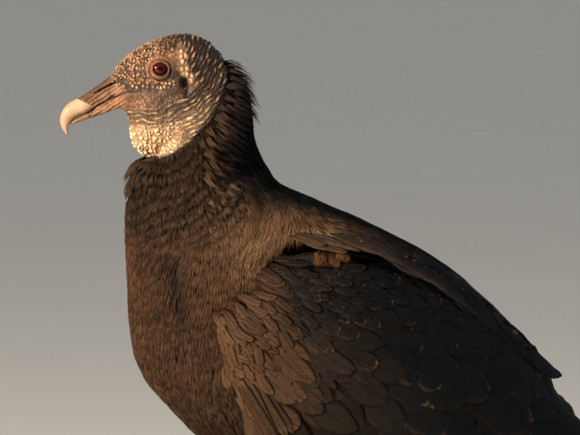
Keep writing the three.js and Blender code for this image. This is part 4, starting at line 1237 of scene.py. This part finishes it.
def mantleSlope(p):
    y, z = p[:, 1], p[:, 2]
    above = z - mantleLip(y)
    along = mix(-25, -48, ramp(y, 10, 120))
    drape = mix(-108, -40, ramp(y, -50, 12))
    front = mix(drape, -52, ramp(above, 18, 44))
    return mix(along, front, ramp(-y, -24, 14)) + 7 * noise(p, 24, 131) + 5 * noise(p, 8, 132)


def mantleFlow(p):
    return bySide(mantleSlope(p), 0.35 * np.sign(p[:, 0]) * ramp(-p[:, 1], -40, 40))


def mantleRelief(p):  # rolls of drape over the shoulder
    y, z = p[:, 1], p[:, 2]
    rolls = np.abs(np.sin(np.pi * (0.9 * y + 0.35 * z + 3 * noise(p, 20, 133)) / 11))
    return 1.6 * rolls * hump(y, -40, 34) * hump(z, 324, 26) + napeRelief(p) + 0.6 * noise(p, 16, 134)


def mantleCoat(inside, spacing, length, width, base, lift, count=9000, soft=False):  # tufts or vanes on the back
    roots = mantleSurface.scatter(lambda p: spacing * (0.9 + 0.2 * dice.random(len(p))), inside, count)
    size = length(roots) * (0.85 + 0.3 * dice.random(len(roots)))
    lines, normals, steady = lay(mantleSurface, roots, mantleFlow, size, 5, lift, base, mantleRelief)
    roots = roots[steady]
    run = lines[:, -1] - lines[:, 0]
    down = (run[:, 2] < -0.4 * size[steady]) & (np.abs(run[:, 0]) < 0.45 * size[steady])
    falls = (lines[:, -1, 1] < np.where(roots[:, 2] > 225, 150, 200)) & ((roots[:, 1] < 95) | down)
    lines, normals, roots = lines[falls], normals[falls], roots[falls]
    tint = plumageTint(roots) * (0.8 + 0.4 * dice.random(len(roots)))[:, None]
    if soft:
        return tufts(lines, normals, width, 10, 0.45, tint, 1.4, rise=0.7)
    edge = 0.08 + 0.35 * dice.random(len(roots)) ** 2 * ramp(roots[:, 1], -20, 30)
    near = hump(roots[:, 2] - mantleLip(roots[:, 1]), 6, 9)
    return vanes(lines, normals, width(roots), 0.3, tint, (0, 0.25, 0.5, 0.72, 0.88, 1.0), edge + 0.15 * near,
                 tipShape=0.6, tip=0.10, base=0.4, camber=0.10, cross=4)


def onMantle(low):
    def inside(c, n):
        outer = n[:, 2] + 0.8 * n[:, 0] * np.sign(c[:, 0]) > 0.1
        return outer & (c[:, 1] > -62) & (c[:, 1] < 168) & (c[:, 2] > mantleLip(c[:, 1]) + low)
    return inside


def backZone(c, n):  # thins out forward, where the furred zone takes over
    return onMantle(1)(c, n) & (dice.random(len(c)) < ramp(c[:, 1], -30, 45))


def furredZone(c, n):
    return onMantle(8)(c, n) & (dice.random(len(c)) < ramp(-c[:, 1], -85, -10))


def rumpZone(c, n):
    under = c[:, 2] < mantleLip(c[:, 1]) + 12
    return (c[:, 1] > 100) & (c[:, 2] > 135) & (n[:, 1] > 0.3) & (n[:, 2] > -0.2) & under


def liningZone(c, n):  # closes the hollow below the furred zone
    return onMantle(8)(c, n) & (c[:, 1] < 28) & (c[:, 2] > 338)


def growing(front, rear):  # a size that grows from the front of the back to its rear
    return lambda p: mix(front, rear, ramp(p[:, 1], -30, 110))


mantlePlan = dict(
    back=dict(inside=backZone, spacing=4.8, length=growing(22, 44), width=growing(8, 12), base=-1.8, lift=0.035),
    furred=dict(inside=furredZone, spacing=4.2, length=same(21), width=8, base=-0.4, lift=0.03, soft=True),
    rump=dict(inside=rumpZone, spacing=6.5, length=same(34), width=same(15), base=-1.5, lift=0.05, count=2000),
    lining=dict(inside=liningZone, spacing=5.0, length=same(20), width=same(9), base=-3.2, lift=0.01, count=3000),
)
addCoat("mantleCoat", [mantleCoat(**layer) for layer in mantlePlan.values()], vaneFinish, "wing_feathers", ["mantle"])


pocketPlan = dict(count=44, width=5.5, blades=14, blade=0.22, tip=1.3, rise=2.2)


def pocketTuft(side):  # a downy clump in the hollow under the mantle's lip
    count = pocketPlan["count"]
    seed = dice.random((4, count))
    start = np.stack([side * (60 + 9 * seed[0]), -6 + 16 * (seed[1] - 0.5), 318 - 3 * seed[2]], -1)
    v = np.linspace(0, 1, 5)[None]
    slope = np.radians(-100 + 60 * (seed[1] - 0.5) + 34 * (seed[3] - 0.5))[:, None]
    run = (6 + 7 * seed[2][:, None]) * v
    line = np.stack([start[:, :1] + side * (3.5 * np.sin(np.pi * v * 0.8)), start[:, 1:2] + run * np.cos(slope),
                     start[:, 2:] + run * np.sin(slope)], -1)
    normal = unit(np.stack([side + 0 * line[..., 0], 0.1 + 0 * line[..., 0], 0.2 + 0 * line[..., 0]], -1))
    tint = coatTints["tuft"][None] * (0.35 + 0.7 * dice.random(count))[:, None]
    return tufts(line, normal, tint=tint, **{key: value for key, value in pocketPlan.items() if key != "count"})


addCoat("pocketTuft", [pocketTuft(1), pocketTuft(-1)], softFinish, "soft_plumage")

lipReach = graph([(-66, 58), (-46, 65), (-18, 70), (16, 71), (52, 66), (86, 58), (126, 43), (150, 34)])


def scapulars(side):  # long feathers tucked under the mantle's lip, above the wing
    rows = []
    for inset, below, shift in ((13, 11, 0), (24, 9, 5), (36, 8, 2)):
        y = np.arange(10 + shift, 102, 9.0)
        slope = np.arctan2(mantleLip(y + 5) - mantleLip(y - 5), 10) + np.radians(3) * dice.normal(size=len(y))
        size = mix(40, 52, ramp(y, 0, 90)) * (0.9 + 0.2 * dice.random(len(y)))
        v = np.linspace(0, 1, 5)[None]
        ys = y[:, None] + size[:, None] * v * np.cos(slope)[:, None]
        zs = np.minimum(mantleLip(y)[:, None] - below + size[:, None] * v * np.sin(slope)[:, None],
                        mantleLip(ys) - below + 3)
        line = np.stack([side * (lipReach(ys) - inset), ys, zs], -1)
        normal = unit(np.stack([side * (0.75 - inset / 60) + 0 * ys, 0.3 + 0 * ys, 0.6 + 0 * ys], -1))
        # the wing's dark rear tint, partly the feathers' own black and partly painted shade under the lip
        tint = coatTints["rear"][None] * (0.8 + 0.4 * dice.random(len(y)))[:, None]
        rows.append(vanes(line, normal, np.full(len(y), 20.0), 0.4, tint, broad, np.full(len(y), 0.2), tipShape=0.4))
    return rows


def lipFeathers(side):  # the long outermost feathers of the mantle, which end in its lip
    y = np.arange(-34, 125, 3.6)
    y = y + 1.2 * dice.normal(size=len(y))
    size = np.minimum(mix(24, 46, ramp(y, -30, 40)), (152 - y) / 0.75) * (0.85 + 0.3 * dice.random(len(y)))
    v = np.linspace(0, 1, 6)[None]
    ys = y[:, None] + size[:, None] * v * np.cos(np.arctan2(mantleLip(y + 6) - mantleLip(y - 6), 12))[:, None]
    drop = mix(6, -1.5, v) + 2.0 * dice.normal(size=(len(y), 1))
    zs = mantleLip(ys) + drop
    reach = lipReach(ys) - 0.35 * np.maximum(drop, 0) + mix(-1.5, 1.0, v)
    line = np.stack([side * reach, ys, zs], -1)
    normal = unit(np.stack([side * 0.8 + 0 * ys, 0.2 + 0 * ys, 0.55 + 0 * ys], -1))
    tint = blended(plumageTint(line[:, 0]), coatTints["back"], 0.72) * (0.6 + 0.8 * dice.random(len(y)))[:, None]
    edge = (0.1 + 0.9 * dice.random(len(y)) ** 2) * ramp(-y, -70, 10)
    return vanes(line, normal, mix(6.5, 12, ramp(y, -10, 60)), 0.35, tint, broad, edge, tipShape=0.5, tip=0.08,
                 base=0.3, camber=0.12)


addCoat("scapularCoat", scapulars(1) + scapulars(-1) + [lipFeathers(1), lipFeathers(-1)], vaneFinish, "wing_feathers")


tailPlan = dict(count=12, length=194, droop=30, apart=13, turn=7, width=24.0)


def tailFeathers():
    count, length, drop = tailPlan["count"], tailPlan["length"], np.radians(tailPlan["droop"])
    spread = np.linspace(-1, 1, count)
    v = np.linspace(0, 1, 9)[None]
    turn = np.radians(tailPlan["turn"]) * spread[:, None]
    run = (length - 6 * spread[:, None] ** 2 + dice.normal(size=(count, 1))) * v
    lower = 5 * np.sin(np.pi * v) + 7 * spread[:, None] ** 2 * v + 1.1 * np.abs(spread[:, None]) * 5
    line = np.stack([tailPlan["apart"] * spread[:, None] + np.sin(turn) * run, 112 + np.cos(turn) * np.cos(drop) * run,
                     178 - np.sin(drop) * run - lower], -1)
    flat = 0 * v + 0 * turn
    normal = unit(np.stack([0.1 * spread[:, None] + flat, np.sin(drop) + flat, np.cos(drop) + flat], -1))
    tint = coatTints["quill"][None] * (0.85 + 0.3 * dice.random(count))[:, None]
    rows = (0, 0.1, 0.2, 0.3, 0.4, 0.5, 0.6, 0.7, 0.8, 0.88, 0.94, 0.98, 1.0)
    return vanes(line, normal, np.full(count, tailPlan["width"]), 0.6, tint, rows, np.full(count, 0.4), tipShape=0.12,
                 tip=0.25, base=0.1, camber=0.08, cross=8, wave=0.03)


addCoat("tailFeathers", [tailFeathers()], vaneFinish, "wing_feathers", ["tail"])


# floor, light and camera

stagePlan = dict(
    floorSize=60.0, aim=(0.0, -0.0745, 0.3364), azimuth=84.0, elevation=4.0, distance=3.5, lens=315.0,
    keyPower=122.0, keyFrom=(0.62, -1.0, 0.34), keyAway=2.4, keySize=0.36, keyTint=(1.0, 0.79, 0.57),
    fillPower=9.0, fillFrom=(0.25, 0.9, 1.1), fillAway=2.6, fillSize=1.6, fillTint=(0.80, 0.90, 1.0),
    skyStrength=0.33, skyTint=(0.96, 0.95, 0.92),
)


def buildStage():
    s = stagePlan
    half = s["floorSize"] / 2
    mesh = bpy.data.meshes.new("floor")
    mesh.from_pydata([(-half, -half, 0), (half, -half, 0), (half, half, 0), (-half, half, 0)], [], [(0, 1, 2, 3)])
    floor = bpy.data.objects.new("floor", mesh)
    bpy.context.scene.collection.objects.link(floor)
    made = bpy.data.materials.new("pale floor")
    made.use_nodes = True
    tree = made.node_tree
    shade = tree.nodes["Principled BSDF"]
    speckle = put(tree, "TexNoise", [("Vector", put(tree, "TexCoord").outputs["Object"])], Scale=4.0, Detail=3.0)
    mixer = put(tree, "Mix", [("Factor", speckle.outputs[0])], data_type="RGBA")
    mixer.inputs["A"].default_value = (0.80, 0.79, 0.76, 1)
    mixer.inputs["B"].default_value = (0.85, 0.84, 0.81, 1)
    tree.links.new(mixer.outputs["Result"], shade.inputs["Base Color"])
    shade.inputs["Roughness"].default_value = 0.9
    mesh.materials.append(made)

    aim = Vector(s["aim"])
    for label in ("key", "fill"):
        light = bpy.data.lights.new(label, "AREA")
        light.energy, light.size, light.color = s[label + "Power"], s[label + "Size"], s[label + "Tint"]
        lamp = bpy.data.objects.new(label, light)
        lamp.location = aim + Vector(s[label + "From"]).normalized() * s[label + "Away"]
        lamp.rotation_mode = "QUATERNION"
        lamp.rotation_quaternion = (aim - lamp.location).to_track_quat("-Z", "Y")
        lamp.visible_camera = False
        bpy.context.scene.collection.objects.link(lamp)
    world = bpy.data.worlds.new("sky")
    world.use_nodes = True
    back = world.node_tree.nodes["Background"]
    back.inputs[0].default_value = (*s["skyTint"], 1)
    back.inputs[1].default_value = s["skyStrength"]
    bpy.context.scene.world = world

    camera = bpy.data.objects.new("camera", bpy.data.cameras.new("camera"))
    a, e = math.radians(s["azimuth"]), math.radians(s["elevation"])
    back = Vector((math.sin(a) * math.cos(e), -math.cos(a) * math.cos(e), math.sin(e)))
    camera.location = aim + back * s["distance"]
    camera.rotation_mode = "QUATERNION"
    camera.rotation_quaternion = (-back).to_track_quat("-Z", "Y")
    camera.data.lens = s["lens"]
    camera.data.clip_end = 100
    bpy.context.scene.collection.objects.link(camera)
    bpy.context.scene.camera = camera
    bpy.context.scene.view_settings.view_transform = "Standard"


buildStage()
